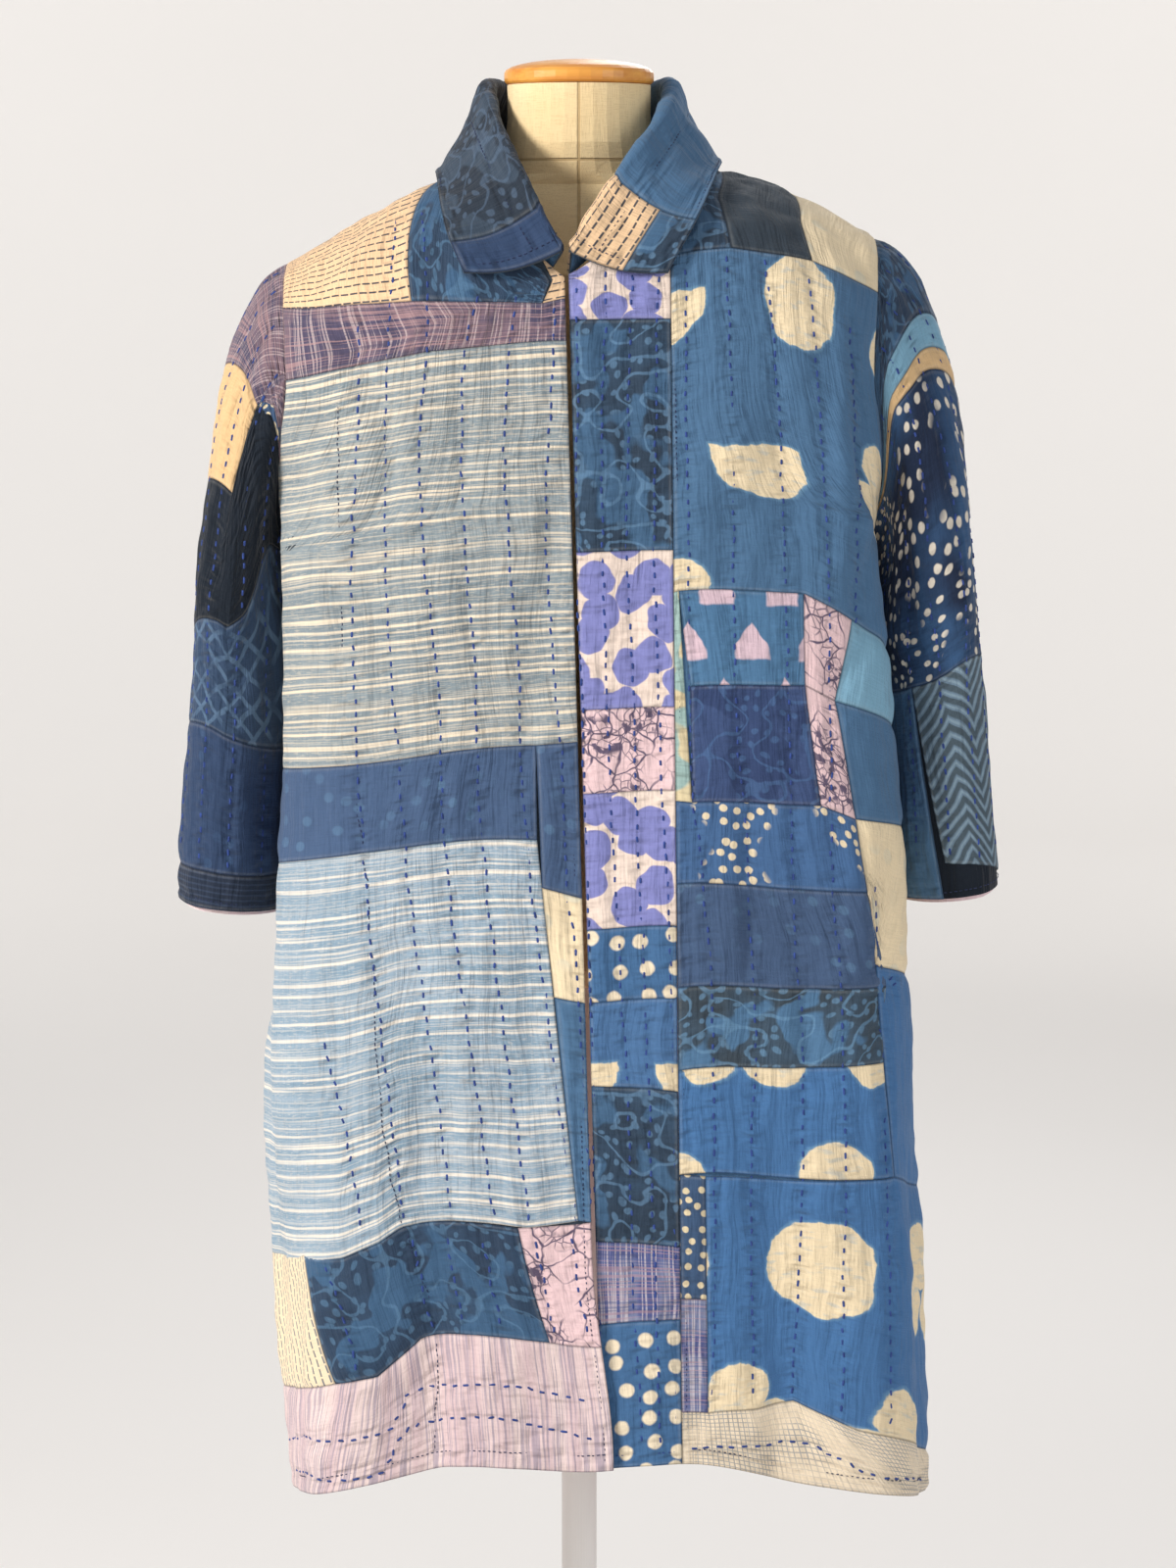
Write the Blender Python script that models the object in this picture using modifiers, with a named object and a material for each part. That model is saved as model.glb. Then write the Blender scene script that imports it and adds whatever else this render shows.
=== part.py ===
"""Patchwork happi coat on a limbless dress form, at its real size.

Units are metres, +Z is up, the front faces -Y and the origin is on the floor under the pole.
"Right" and "left" are the wearer's: right is -X, left is +X.
Every piece of cloth is a wall. Its outer points carry the raised quilting and its inner
points are plain, and all the pieces are read from one body surface, so their seams meet.
"""

import math

import bpy
import numpy as np

OBJECT = "patchwork_happi_coat_on_dress_form"

# Cloth
WALL = 0.0024
SEAM_GAP = 0.0003
QUILT_RAISE = 0.0013

# Heights of the coat
NECK_POINT_HEIGHT = 1.432
NECK_POINT_X = 0.085
SECTION_POWER = 3.4
SHOULDER_SECTION_HEIGHT = 1.40
MEAN_HEM_HEIGHT = 0.43
SPACING_HEIGHT = 0.95

# A row for each height of the body: half-widths to each side and half-depths
BODY_COLUMNS = ("height", "right", "left", "front", "back")
BODY_ROWS = (
    (0.40, 0.226, 0.272, 0.146, 0.150),
    (0.52, 0.232, 0.268, 0.142, 0.148),
    (0.64, 0.241, 0.262, 0.138, 0.146),
    (0.76, 0.243, 0.260, 0.134, 0.144),
    (0.88, 0.246, 0.269, 0.131, 0.140),
    (0.98, 0.241, 0.260, 0.129, 0.136),
    (1.08, 0.239, 0.250, 0.128, 0.132),
    (1.18, 0.240, 0.245, 0.127, 0.128),
    (1.28, 0.243, 0.247, 0.126, 0.124),
    (1.46, 0.243, 0.247, 0.124, 0.120),
)

# The hem's height round the coat, by the angle from the centre front
HEM_COLUMNS = ("angle", "height")
HEM_ROWS = (
    (-180, 0.418),
    (-130, 0.408),
    (-90, 0.392),
    (-58, 0.414),
    (-40, 0.436),
    (0, 0.438),
    (38, 0.440),
    (56, 0.420),
    (90, 0.388),
    (130, 0.410),
    (180, 0.418),
)

# The hanging folds: where each one is, how wide, how deep at the hem and where it starts
FOLD_COLUMNS = ("angle", "spread", "depth", "top")
FOLD_ROWS = (
    (-55, 9, 0.020, 1.00),
    (-41, 6, -0.013, 0.98),
    (-20, 9, 0.006, 0.90),
    (22, 8, 0.005, 0.85),
    (51, 6, -0.014, 1.00),
    (64, 8, 0.018, 1.05),
    (104, 9, -0.010, 0.80),
    (122, 9, 0.018, 1.00),
    (140, 7, -0.012, 0.95),
    (163, 10, 0.010, 0.85),
    (-168, 9, -0.010, 0.90),
    (-146, 10, 0.014, 1.00),
    (-126, 8, -0.014, 0.95),
    (-108, 8, 0.012, 0.85),
)

# The hollow pressed into each side of the body by the hanging sleeve
TUCK_DEPTH = {"right": 0.052, "left": 0.062}
TUCK_ANGLE = 96
TUCK_SPREAD = {"front": 15, "back": 26}
TUCK_HEIGHTS = (0.74, 0.86, 1.10, 1.27)

# The shoulders: how far the line drops from the neck point to the tip, and its bow
SHOULDER = {
    "right": {"tip_x": 0.2276, "drop": 0.075, "bow": 1.12},
    "left": {"tip_x": 0.2315, "drop": 0.057, "bow": 1.70},
}
ROLL_START = 0.90
UNDERARM = 0.758
NECK_CORNER = 0.918
NECK_CURVE = 0.8
ARMHOLE_ANGLE = 67
ARMHOLE_TIP_ANGLE = 71
ARMHOLE_BEND = 0.6
BACK_NECK = 0.975
BACK_NECK_LIFT = 0.026
BACK_LIFT_ANGLES = (14, 36)
CLEAR_OF_EDGE = 0.0004

# The opening: the meeting line at the top and the hem, and the strip's outer seam
EDGE_TOP_X = -0.0095
EDGE_HEM_X = 0.016
EDGE_TOP_HEIGHT = 1.36
EDGE_HEM_HEIGHT = 0.44
OPENING_GAP = 0.0030
HEM_OVERLAP = 0.0120
LAP_HEIGHTS = (0.44, 0.60)
STEP_HEIGHTS = (0.50, 0.82)
OVERLAP_STEP = 0.0065
STEP_SPREAD = 0.035
BAND_TOP_X = 0.069
BAND_HEM_X = 0.079
BAND_CORNER_HEIGHT = 1.38
CORNER_X = {"right": 0.0115, "left": -0.0080}

# How finely each piece is divided
LOWER_ROWS = 12
ARMHOLE_ROWS = 12
ROLL_ROWS = 8
FRONT_RIGHT_COLUMNS = 18
FRONT_LEFT_COLUMNS = 14
BAND_COLUMNS = 4
HALF_BACK_COLUMNS = 16

# A row for each ring of a sleeve: its outer and inner lines and its half-depth
SLEEVE_COLUMNS = ("down", "outer_x", "outer_z", "inner_x", "inner_z", "half_depth")
SLEEVE_ROWS = {
    "right": (
        (0.00, 0.2276, 1.357, 0.2090, 1.140, 0.070),
        (0.12, 0.2440, 1.312, 0.2140, 1.108, 0.080),
        (0.25, 0.2690, 1.255, 0.2150, 1.078, 0.086),
        (0.42, 0.2800, 1.175, 0.2145, 1.035, 0.084),
        (0.60, 0.2870, 1.080, 0.2150, 0.980, 0.082),
        (0.80, 0.2960, 0.965, 0.2170, 0.915, 0.081),
        (1.00, 0.3050, 0.864, 0.2190, 0.852, 0.080),
    ),
    "left": (
        (0.00, 0.2315, 1.375, 0.2120, 1.145, 0.070),
        (0.12, 0.2600, 1.333, 0.2240, 1.112, 0.080),
        (0.25, 0.2830, 1.262, 0.2265, 1.080, 0.085),
        (0.42, 0.2920, 1.165, 0.2275, 1.040, 0.084),
        (0.60, 0.2995, 1.072, 0.2290, 0.985, 0.083),
        (0.80, 0.3105, 0.965, 0.2320, 0.922, 0.082),
        (1.00, 0.3200, 0.874, 0.2360, 0.862, 0.081),
    ),
}
SLEEVE_RINGS = 15
SLEEVE_CENTRE_Y = 0.018
SLEEVE_TILT = 0.32
SLEEVE_POWER = 2.3
SLEEVE_BLEND = (0.00, 0.42)
SLEEVE_PUSH = 0.22
PUSH_OUT = (0.90, -0.35)
PUSH_UNDER = (0.40, -0.92)

# The sleeve's folds, placed in degrees from its outer line towards the front
SLEEVE_FOLD_COLUMNS = ("around", "spread", "depth", "start")
SLEEVE_FOLD_ROWS = (
    (50, 22, -0.006, 0.15),
    (150, 25, 0.005, 0.20),
    (-70, 25, -0.006, 0.10),
    (-140, 25, 0.005, 0.25),
)

# The lining that shows inside each cuff
LINING_WALL = 0.0014
LINING_RISE = 0.030
LINING_DROP = 0.003

# A row for each station of the collar, from the centre back to the front end
COLLAR_COLUMNS = (
    "along", "roll_x", "roll_y", "roll_z", "fall_x", "fall_y", "fall_z", "left_lift",
)
COLLAR_ROWS = (
    (0.00, 0.000, 0.077, 1.496, 0.000, 0.110, 1.416, 0.000),
    (0.20, 0.031, 0.071, 1.496, 0.047, 0.101, 1.418, 0.000),
    (0.40, 0.061, 0.044, 1.496, 0.091, 0.061, 1.430, 0.003),
    (0.54, 0.072, 0.004, 1.494, 0.109, 0.004, 1.431, 0.007),
    (0.70, 0.062, -0.050, 1.466, 0.107, -0.057, 1.421, 0.006),
    (0.85, 0.035, -0.100, 1.420, 0.095, -0.113, 1.389, 0.002),
    (1.00, 0.003, -0.130, 1.368, 0.077, -0.129, 1.352, 0.000),
)
COLLAR_END_SHIFT = -0.0095
COLLAR_STATIONS = 30
COLLAR_ROLL_RADIUS = 0.0048
COLLAR_STAND_ROWS = 4
COLLAR_ROLL_ROWS = 4
COLLAR_FALL_ROWS = 4
COLLAR_SAG = 0.006
COLLAR_SHIFT_START = 0.6

# The dress form: a row for each height of the torso and neck
FORM_COLUMNS = ("height", "half_width", "half_depth", "centre_y")
FORM_ROWS = (
    (0.800, 0.138, 0.088, 0.004),
    (0.815, 0.154, 0.100, 0.004),
    (0.880, 0.160, 0.108, 0.004),
    (0.960, 0.148, 0.102, 0.003),
    (1.050, 0.134, 0.093, 0.002),
    (1.140, 0.146, 0.100, 0.002),
    (1.240, 0.162, 0.108, 0.001),
    (1.310, 0.168, 0.104, 0.001),
    (1.350, 0.166, 0.094, 0.001),
)
FORM_SHOULDER_STEPS = 8
FORM_SHOULDER_TOP = 1.420
FORM_SHOULDER_DEPTH = (0.090, 0.044)
FORM_SHOULDER_SLOPE = 0.8
FORM_SHOULDER_CENTRE = 0.001
FORM_SHOULDER_SPARE = 0.004
FORM_SHOULDER_TAPER = 0.25
FORM_NECK_ROWS = (
    (1.428, 0.0680, 0.0480, 0.001),
    (1.440, 0.0610, 0.0530, 0.001),
    (1.452, 0.0580, 0.0555, 0.000),
    (1.470, 0.0560, 0.0560, 0.000),
    (1.4975, 0.0560, 0.0560, 0.000),
)
FORM_SIDES = 32
FORM_UNDER_CLOTH = 0.0009

# The cap, the pole and the base
CAP_RADIUS = 0.0585
CAP_BOTTOM = 1.4978
CAP_HEIGHT = 0.020
CAP_SIDE_SHARE = 0.45
POLE_RADIUS = 0.014
BASE_RADIUS = 0.185
BASE_HEIGHT = 0.034
BASE_ROUND = 0.020
HUB_RADIUS = 0.032
HUB_HEIGHT = 0.060
HUB_FOOT = (0.014, 0.006)
EDGE_ROUND = 0.004
POLE_SOCKET = 0.040
TURNED_STEPS = 40
SHARP_ANGLE = 50

# The materials' colours, roughness and metallic values
FINISHES = {
    "stripe_cotton": ((0.30, 0.37, 0.40, 1.0), 0.86, 0.0),
    "indigo_cotton": ((0.07, 0.15, 0.29, 1.0), 0.86, 0.0),
    "blue_cotton": ((0.08, 0.20, 0.38, 1.0), 0.86, 0.0),
    "dark_cotton": ((0.03, 0.06, 0.11, 1.0), 0.86, 0.0),
    "lining_cotton": ((0.78, 0.66, 0.70, 1.0), 0.88, 0.0),
    "form_canvas": ((0.80, 0.66, 0.42, 1.0), 0.90, 0.0),
    "turned_wood": ((0.66, 0.33, 0.10, 1.0), 0.42, 0.0),
    "painted_steel": ((0.78, 0.77, 0.74, 1.0), 0.40, 0.0),
}


def column(rows, names, name):
    """One named column of a table, as an array."""
    return np.array([row[names.index(name)] for row in rows], float)


def curve(places, values, at):
    """A smooth line through a table's values, read at one place or many."""
    slopes = np.gradient(values, places)
    at = np.clip(at, places[0], places[-1])
    k = np.clip(np.searchsorted(places, at) - 1, 0, len(places) - 2)
    span = places[k + 1] - places[k]
    t = (at - places[k]) / span
    start = (1 + 2 * t) * (1 - t) ** 2 * values[k]
    leave = t * (1 - t) ** 2 * span * slopes[k]
    end = t * t * (3 - 2 * t) * values[k + 1]
    arrive = t * t * (t - 1) * span * slopes[k + 1]
    return start + leave + end + arrive


def ease(value, low, high):
    """0 below low, 1 above high and a soft ramp between them."""
    t = np.clip((value - low) / (high - low), 0, 1)
    return t * t * (3 - 2 * t)


def body_size(name, height):
    """A half-width or half-depth of the coat's body at a height."""
    heights = column(BODY_ROWS, BODY_COLUMNS, "height")
    return curve(heights, column(BODY_ROWS, BODY_COLUMNS, name), height)


def tuck(angle, height):
    """How far the sleeve presses a side of the body in."""
    depth = np.where(angle < 0, TUCK_DEPTH["right"], TUCK_DEPTH["left"])
    low, full_low, full_high, high = TUCK_HEIGHTS
    reach = ease(height, low, full_low) * (1 - ease(height, full_high, high))
    off = np.abs(angle) - TUCK_ANGLE
    spread = np.where(off < 0, TUCK_SPREAD["front"], TUCK_SPREAD["back"])
    return depth * reach * np.exp(-((off / spread) ** 2))


def folds(angle, height):
    """The hanging folds, which deepen towards the hem."""
    total = 0.0 * angle
    for row in FOLD_ROWS:
        fold = dict(zip(FOLD_COLUMNS, row))
        turn = (angle - fold["angle"] + 180) % 360 - 180
        growth = ease(fold["top"] - height, 0, fold["top"] - BODY_ROWS[0][0])
        total = total + fold["depth"] * np.exp(-((turn / fold["spread"]) ** 2)) * growth
    return total


def radius(angle, height):
    """The body's distance from the pole's axis, by angle in degrees and height."""
    turn = np.radians(angle)
    width = np.where(angle < 0, body_size("right", height), body_size("left", height))
    depth = np.where(np.abs(angle) < 90, body_size("front", height), body_size("back", height))
    across = (np.abs(np.sin(turn)) / width) ** SECTION_POWER
    along = (np.abs(np.cos(turn)) / depth) ** SECTION_POWER
    base = (across + along) ** (-1 / SECTION_POWER)
    return base - tuck(angle, height) + folds(angle, height)


def hem(angle):
    """The hem's height at an angle."""
    places = column(HEM_ROWS, HEM_COLUMNS, "angle")
    return curve(places, column(HEM_ROWS, HEM_COLUMNS, "height"), angle)


def roll(rise):
    """How much of the body's depth is left as the cloth rolls over the shoulder."""
    t = np.clip((rise - ROLL_START) / (1 - ROLL_START), 0, 1)
    return np.sqrt(1 - t * t)


def shell(angle, rise, top):
    """A point of the coat's surface: rise runs from 0 at the hem to 1 at the height top."""
    angle, rise, top = np.broadcast_arrays(*(np.asarray(v, float) for v in (angle, rise, top)))
    low = hem(angle)
    height = low + (top - low) * rise
    reach = radius(angle, height)
    turn = np.radians(angle)
    return np.stack([reach * np.sin(turn), -reach * np.cos(turn) * roll(rise), height], -1)


def angle_at(x, height, back=False):
    """The angle at which the body's surface is x from the middle, in front or behind."""
    sweep = np.linspace(0, 80, 161)
    side = sweep if x >= 0 else -sweep
    if back:
        side = np.where(x >= 0, 180 - sweep, sweep - 180)
    across = np.abs(radius(side, height) * np.sin(np.radians(side)))
    found = np.interp(abs(x), across, sweep)
    found = found if x >= 0 else -found
    return (180 - found if x >= 0 else -180 - found) if back else found


def shoulder_height(x, side):
    """The height of the shoulder line at a distance from the middle."""
    line = SHOULDER[side]
    t = np.clip((abs(x) - NECK_POINT_X) / (line["tip_x"] - NECK_POINT_X), 0, 1)
    return NECK_POINT_HEIGHT - line["drop"] * t ** line["bow"]


def shoulder_x(height, side):
    """The distance from the middle at which the shoulder line has a height."""
    line = SHOULDER[side]
    t = np.clip((NECK_POINT_HEIGHT - height) / line["drop"], 0, 1) ** (1 / line["bow"])
    return NECK_POINT_X + (line["tip_x"] - NECK_POINT_X) * t


def row_height(rise):
    """The height of a row of a front or back panel, before its own hem is counted."""
    return MEAN_HEM_HEIGHT + (NECK_POINT_HEIGHT - MEAN_HEM_HEIGHT) * rise


def down_opening(height):
    """How far down the opening a height is, from 0 at its top to 1 at the hem."""
    return np.clip((EDGE_TOP_HEIGHT - height) / (EDGE_TOP_HEIGHT - EDGE_HEM_HEIGHT), 0, 1)


def edge_x(height):
    """The line on which the two fronts meet."""
    return EDGE_TOP_X + (EDGE_HEM_X - EDGE_TOP_X) * down_opening(height)


def band_x(height):
    """The seam between the strip and the left front."""
    return BAND_TOP_X + (BAND_HEM_X - BAND_TOP_X) * down_opening(height)


def neck_x(rise, start):
    """The neckline's distance from the middle, from the front corner to the neck point."""
    t = np.clip((rise - NECK_CORNER) / (1 - NECK_CORNER), 0, 1)
    return start + (NECK_POINT_X - start) * t ** NECK_CURVE


def neck_rise(x, start):
    """The row at which the neckline is x from the middle."""
    t = (x - start) / (NECK_POINT_X - start)
    return NECK_CORNER + (1 - NECK_CORNER) * t ** (1 / NECK_CURVE)


def armhole_angle(rise):
    """Where the armhole edge runs, from the underarm to the shoulder tip."""
    t = np.clip((rise - UNDERARM) / (1 - UNDERARM), 0, 1)
    swing = (90 - ARMHOLE_ANGLE) * (1 - (1 - t) ** 2) ** ARMHOLE_BEND
    return 90 - swing + (ARMHOLE_TIP_ANGLE - ARMHOLE_ANGLE) * ease(t, 0.5, 1.0)


def rise_rows(top=1.0):
    """The rows of a panel: even below the underarm, then closer over the shoulder."""
    lower = np.linspace(0, UNDERARM, LOWER_ROWS + 1)
    middle = np.linspace(UNDERARM, ROLL_START, ARMHOLE_ROWS - ROLL_ROWS + 1)[1:]
    turn = np.linspace(0, 90, ROLL_ROWS + 1)[1:]
    upper = ROLL_START + (1 - ROLL_START) * np.sin(np.radians(turn))
    rows = np.concatenate([lower, middle, upper])
    return rows[rows <= top]


def spread_columns(count, side, back=False):
    """Places from 0 to 1 between the middle and the side, evenly spaced along the cloth."""
    sweep = np.linspace(0, 90, 181)
    angles = sweep if side == "left" else -sweep
    if back:
        angles = 180 - sweep if side == "left" else sweep - 180
    reach = radius(angles, SPACING_HEIGHT)
    x = reach * np.sin(np.radians(angles))
    y = reach * np.cos(np.radians(angles))
    run = np.concatenate([[0], np.cumsum(np.hypot(np.diff(x), np.diff(y)))])
    return np.interp(np.linspace(0, run[-1], count + 1), run, sweep / 90)


def surface_normals(grid):
    """Unit normals of a grid of points, from its own rows and columns."""
    across = np.gradient(grid, axis=0)
    along = np.gradient(grid, axis=1)
    normal = np.cross(across, along)
    return normal / np.linalg.norm(normal, axis=-1, keepdims=True)


def flatten(normals, axis):
    """Lay a row of normals in the plane of a straight seam."""
    normals[..., axis] = 0
    return normals / np.linalg.norm(normals, axis=-1, keepdims=True)


def quilt(count, phase=0):
    """The raise of each column: down on a line of stitches and up between two lines."""
    return QUILT_RAISE * ((np.arange(count) + phase) % 2)


def grid_faces(columns, rows, closed=False):
    """The faces of a grid whose points run along the rows first, all split the same way."""
    faces = []
    last = columns if closed else columns - 1
    for i in range(last):
        k = (i + 1) % columns
        for j in range(rows - 1):
            a, b, c, d = i * rows + j, k * rows + j, k * rows + j + 1, i * rows + j + 1
            faces += [(a, b, c), (a, c, d)]
    return faces


def wall(name, outer, inner, faces, finish):
    """A closed wall: the outer faces, the inner ones turned round, and the cut edges."""
    count = len(outer)
    edges = {}
    for face in faces:
        for a, b in zip(face, face[1:] + face[:1]):
            edges[(a, b)] = True
    sides = [(b, a, a + count, b + count) for a, b in edges if (b, a) not in edges]
    back = [tuple(v + count for v in reversed(face)) for face in faces]
    mesh = bpy.data.meshes.new(name)
    points = [tuple(p) for p in outer] + [tuple(p) for p in inner]
    mesh.from_pydata(points, [], faces + back + sides)
    return finish_piece(name, mesh, finish)


def finish_piece(name, mesh, finish):
    """Shade a piece, give it its own material and put it in the object's collection."""
    colour, roughness, metallic = FINISHES[finish]
    material = bpy.data.materials.new(name + "_" + finish)
    material.use_nodes = True
    shader = material.node_tree.nodes["Principled BSDF"]
    shader.inputs["Base Color"].default_value = colour
    shader.inputs["Roughness"].default_value = roughness
    shader.inputs["Metallic"].default_value = metallic
    mesh.validate()
    mesh.shade_smooth()
    mesh.set_sharp_from_angle(angle=math.radians(SHARP_ANGLE))
    mesh.materials.append(material)
    piece = bpy.data.objects.new(name, mesh)
    parts.objects.link(piece)
    return piece


def front_grid(side, count, inner_x, corner_rise, own_gap):
    """A front panel's points: from its inner edge or the neckline out to the armhole."""
    sign = -1 if side == "right" else 1
    places = spread_columns(count, side)
    rows = rise_rows()
    grid = np.zeros((count + 1, len(rows), 3))
    tip = sign * armhole_angle(1.0)
    neck = angle_at(sign * NECK_POINT_X, SHOULDER_SECTION_HEIGHT)
    for i, place in enumerate(places):
        at = neck + (tip - neck) * place
        x = shell(at, 1.0, NECK_POINT_HEIGHT)[0]
        top = shoulder_height(x, side)
        for j, rise in enumerate(rows):
            height = row_height(rise)
            edge = inner_x(height) + own_gap
            if rise > corner_rise:
                edge = sign * max(neck_x(rise, CORNER_X[side]), sign * edge)
            start = angle_at(edge, height)
            end = sign * armhole_angle(rise)
            grid[i, j] = shell(start + (end - start) * place, rise, top)
    return grid


def seam_offsets(grid, normals, side):
    """Set a panel's side-seam column on its own side of the seam plane."""
    below = rise_rows() <= UNDERARM + 1e-6
    grid[-1, below, 1] = side * SEAM_GAP / 2
    normals[-1, below] = flatten(normals[-1, below], 1)
    grid[:, -1, 1] = side * SEAM_GAP / 2
    normals[:, -1] = flatten(normals[:, -1], 1)


def panel_walls(grid, normals, raise_by):
    """Outer and inner points of a panel."""
    raised = raise_by[:, None, None] * np.ones((1, grid.shape[1], 1))
    raised[0] = 0
    raised[-1] = 0
    raised[:, -1] = 0
    return grid + normals * raised, grid - normals * WALL


def front_panel(side):
    """A front: the right one to the opening, the left one to the strip's seam."""
    if side == "right":
        grid = front_grid(side, FRONT_RIGHT_COLUMNS, right_edge_x, NECK_CORNER, 0)
        rows = rise_rows()
        height = grid[0, :, 2]
        near = np.exp(-(((grid[..., 0] - grid[:1, :, 0]) / STEP_SPREAD) ** 2))
        lift = OVERLAP_STEP * (1 - ease(height, *STEP_HEIGHTS)) * (rows < NECK_CORNER)
        grid[..., 1] -= near * lift
    else:
        grid = front_grid(side, FRONT_LEFT_COLUMNS, band_x, band_rise, SEAM_GAP / 2)
    normals = surface_normals(grid)
    if side == "right":
        normals = -normals
    straight = rise_rows() <= (NECK_CORNER if side == "right" else band_rise)
    normals[0, straight] = flatten(normals[0, straight], 0)
    seam_offsets(grid, normals, -1)
    outer, inner = panel_walls(grid, normals, quilt(len(grid)))
    faces = grid_faces(*grid.shape[:2])
    if side == "right":
        faces = [tuple(reversed(face)) for face in faces]
    finish = "stripe_cotton" if side == "right" else "blue_cotton"
    wall("front_" + side, outer.reshape(-1, 3), inner.reshape(-1, 3), faces, finish)
    return grid, normals


def right_edge_x(height):
    """The right front's own edge, which laps over the strip near the hem."""
    lap = HEM_OVERLAP * (1 - ease(height, *LAP_HEIGHTS))
    return edge_x(height) - OPENING_GAP / 2 + lap


def front_band():
    """The long strip on the left opening edge, cut off along the neckline at its top."""
    rows = rise_rows(NECK_CORNER)
    grid = np.zeros((BAND_COLUMNS + 1, len(rows) + 2, 3))
    for i in range(BAND_COLUMNS + 1):
        across = i / BAND_COLUMNS
        for j in range(len(rows) + 2):
            rise = rows[min(j, len(rows) - 1)]
            if j >= len(rows):
                start = CORNER_X["left"]
                top = neck_rise(start + (BAND_TOP_X - start) * across, start)
                rise = rise + (top - rise) * (j - len(rows) + 1) / 2
            height = row_height(rise)
            inside = edge_x(height) + OPENING_GAP / 2
            x = inside + (band_x(height) - SEAM_GAP / 2 - inside) * across
            grid[i, j] = shell(angle_at(x, height), rise, NECK_POINT_HEIGHT)
    normals = surface_normals(grid)
    for i in (0, -1):
        normals[i] = flatten(normals[i], 0)
    raised = np.zeros(grid.shape)
    raised[1::2] = QUILT_RAISE
    raised[-1] = 0
    outer = (grid + normals * raised).reshape(-1, 3)
    inner = (grid - normals * WALL).reshape(-1, 3)
    wall("front_band_left", outer, inner, grid_faces(*grid.shape[:2]), "indigo_cotton")


def back_half(side):
    """One half of the back, from the middle or the neckline out to the armhole."""
    sign = -1 if side == "right" else 1
    places = spread_columns(HALF_BACK_COLUMNS, side, back=True)
    rows = rise_rows()
    grid = np.zeros((HALF_BACK_COLUMNS + 1, len(rows), 3))
    tip = sign * (180 - armhole_angle(1.0))
    neck = angle_at(sign * NECK_POINT_X, SHOULDER_SECTION_HEIGHT, back=True)
    for i, place in enumerate(places):
        at = neck + (tip - neck) * place
        x = shell(at, 1.0, NECK_POINT_HEIGHT)[0]
        top = shoulder_height(x, side)
        for j, rise in enumerate(rows):
            height = row_height(rise)
            start = sign * 180.0
            if rise > BACK_NECK:
                t = ((rise - BACK_NECK) / (1 - BACK_NECK)) ** 0.5
                start = angle_at(sign * NECK_POINT_X * t, height, back=True)
            end = sign * (180 - armhole_angle(rise))
            angle = start + (end - start) * place
            lift = BACK_NECK_LIFT * (1 - ease(180 - abs(angle), *BACK_LIFT_ANGLES))
            grid[i, j] = shell(angle, rise, top + lift)
    below = rows <= BACK_NECK
    grid[0, below, 0] = 0
    return grid


def back_panel():
    """The back as one wall: its halves share the middle column up to the neckline."""
    rows = rise_rows()
    shared = int((rows <= BACK_NECK).sum())
    points, lining, faces = [], [], []
    grids = {}
    for side in ("left", "right"):
        grid = back_half(side)
        normals = surface_normals(grid)
        if side == "left":
            normals = -normals
        normals[0, :shared] = flatten(normals[0, :shared], 0)
        seam_offsets(grid, normals, 1)
        outer, inner = panel_walls(grid, normals, quilt(len(grid), 1))
        outer[0, :shared] = (grid + normals * QUILT_RAISE)[0, :shared]
        offset = len(points)
        points += list(outer.reshape(-1, 3))
        lining += list(inner.reshape(-1, 3))
        own = grid_faces(*grid.shape[:2])
        if side == "left":
            own = [tuple(reversed(face)) for face in own]
        own = [tuple(v + offset for v in face) for face in own]
        if side == "right":
            own = [tuple(v - offset if v < offset + shared else v for v in face) for face in own]
        faces += own
        grids[side] = (grid, normals)
    used = sorted({v for face in faces for v in face})
    place = {v: k for k, v in enumerate(used)}
    faces = [tuple(place[v] for v in face) for face in faces]
    wall("back", [points[v] for v in used], [lining[v] for v in used], faces, "indigo_cotton")
    return grids


def armhole_loop(front, back):
    """The armhole as a loop of points, from the tip down the front and up the back.

    Each point comes with the way the panel runs out to it and the panel's own normal.
    """
    loop, away, facing = [], [], []
    for grid, normals, order in ((front[0], front[1], -1), (back[0], back[1], 1)):
        rows = list(range(LOWER_ROWS, grid.shape[1]))[::order]
        for j in rows[:-1]:
            loop.append(grid[-1, j])
            away.append(grid[-1, j] - grid[-2, j])
            facing.append(normals[-1, j])
    loop, away, facing = np.array(loop), np.array(away), np.array(facing)
    along = np.roll(loop, -1, axis=0) - np.roll(loop, 1, axis=0)
    along /= np.linalg.norm(along, axis=1, keepdims=True)
    away -= (away * along).sum(1, keepdims=True) * along
    away[ARMHOLE_ROWS] = (0, 0, 1)
    away /= np.linalg.norm(away, axis=1, keepdims=True)
    return loop, away, facing


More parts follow.
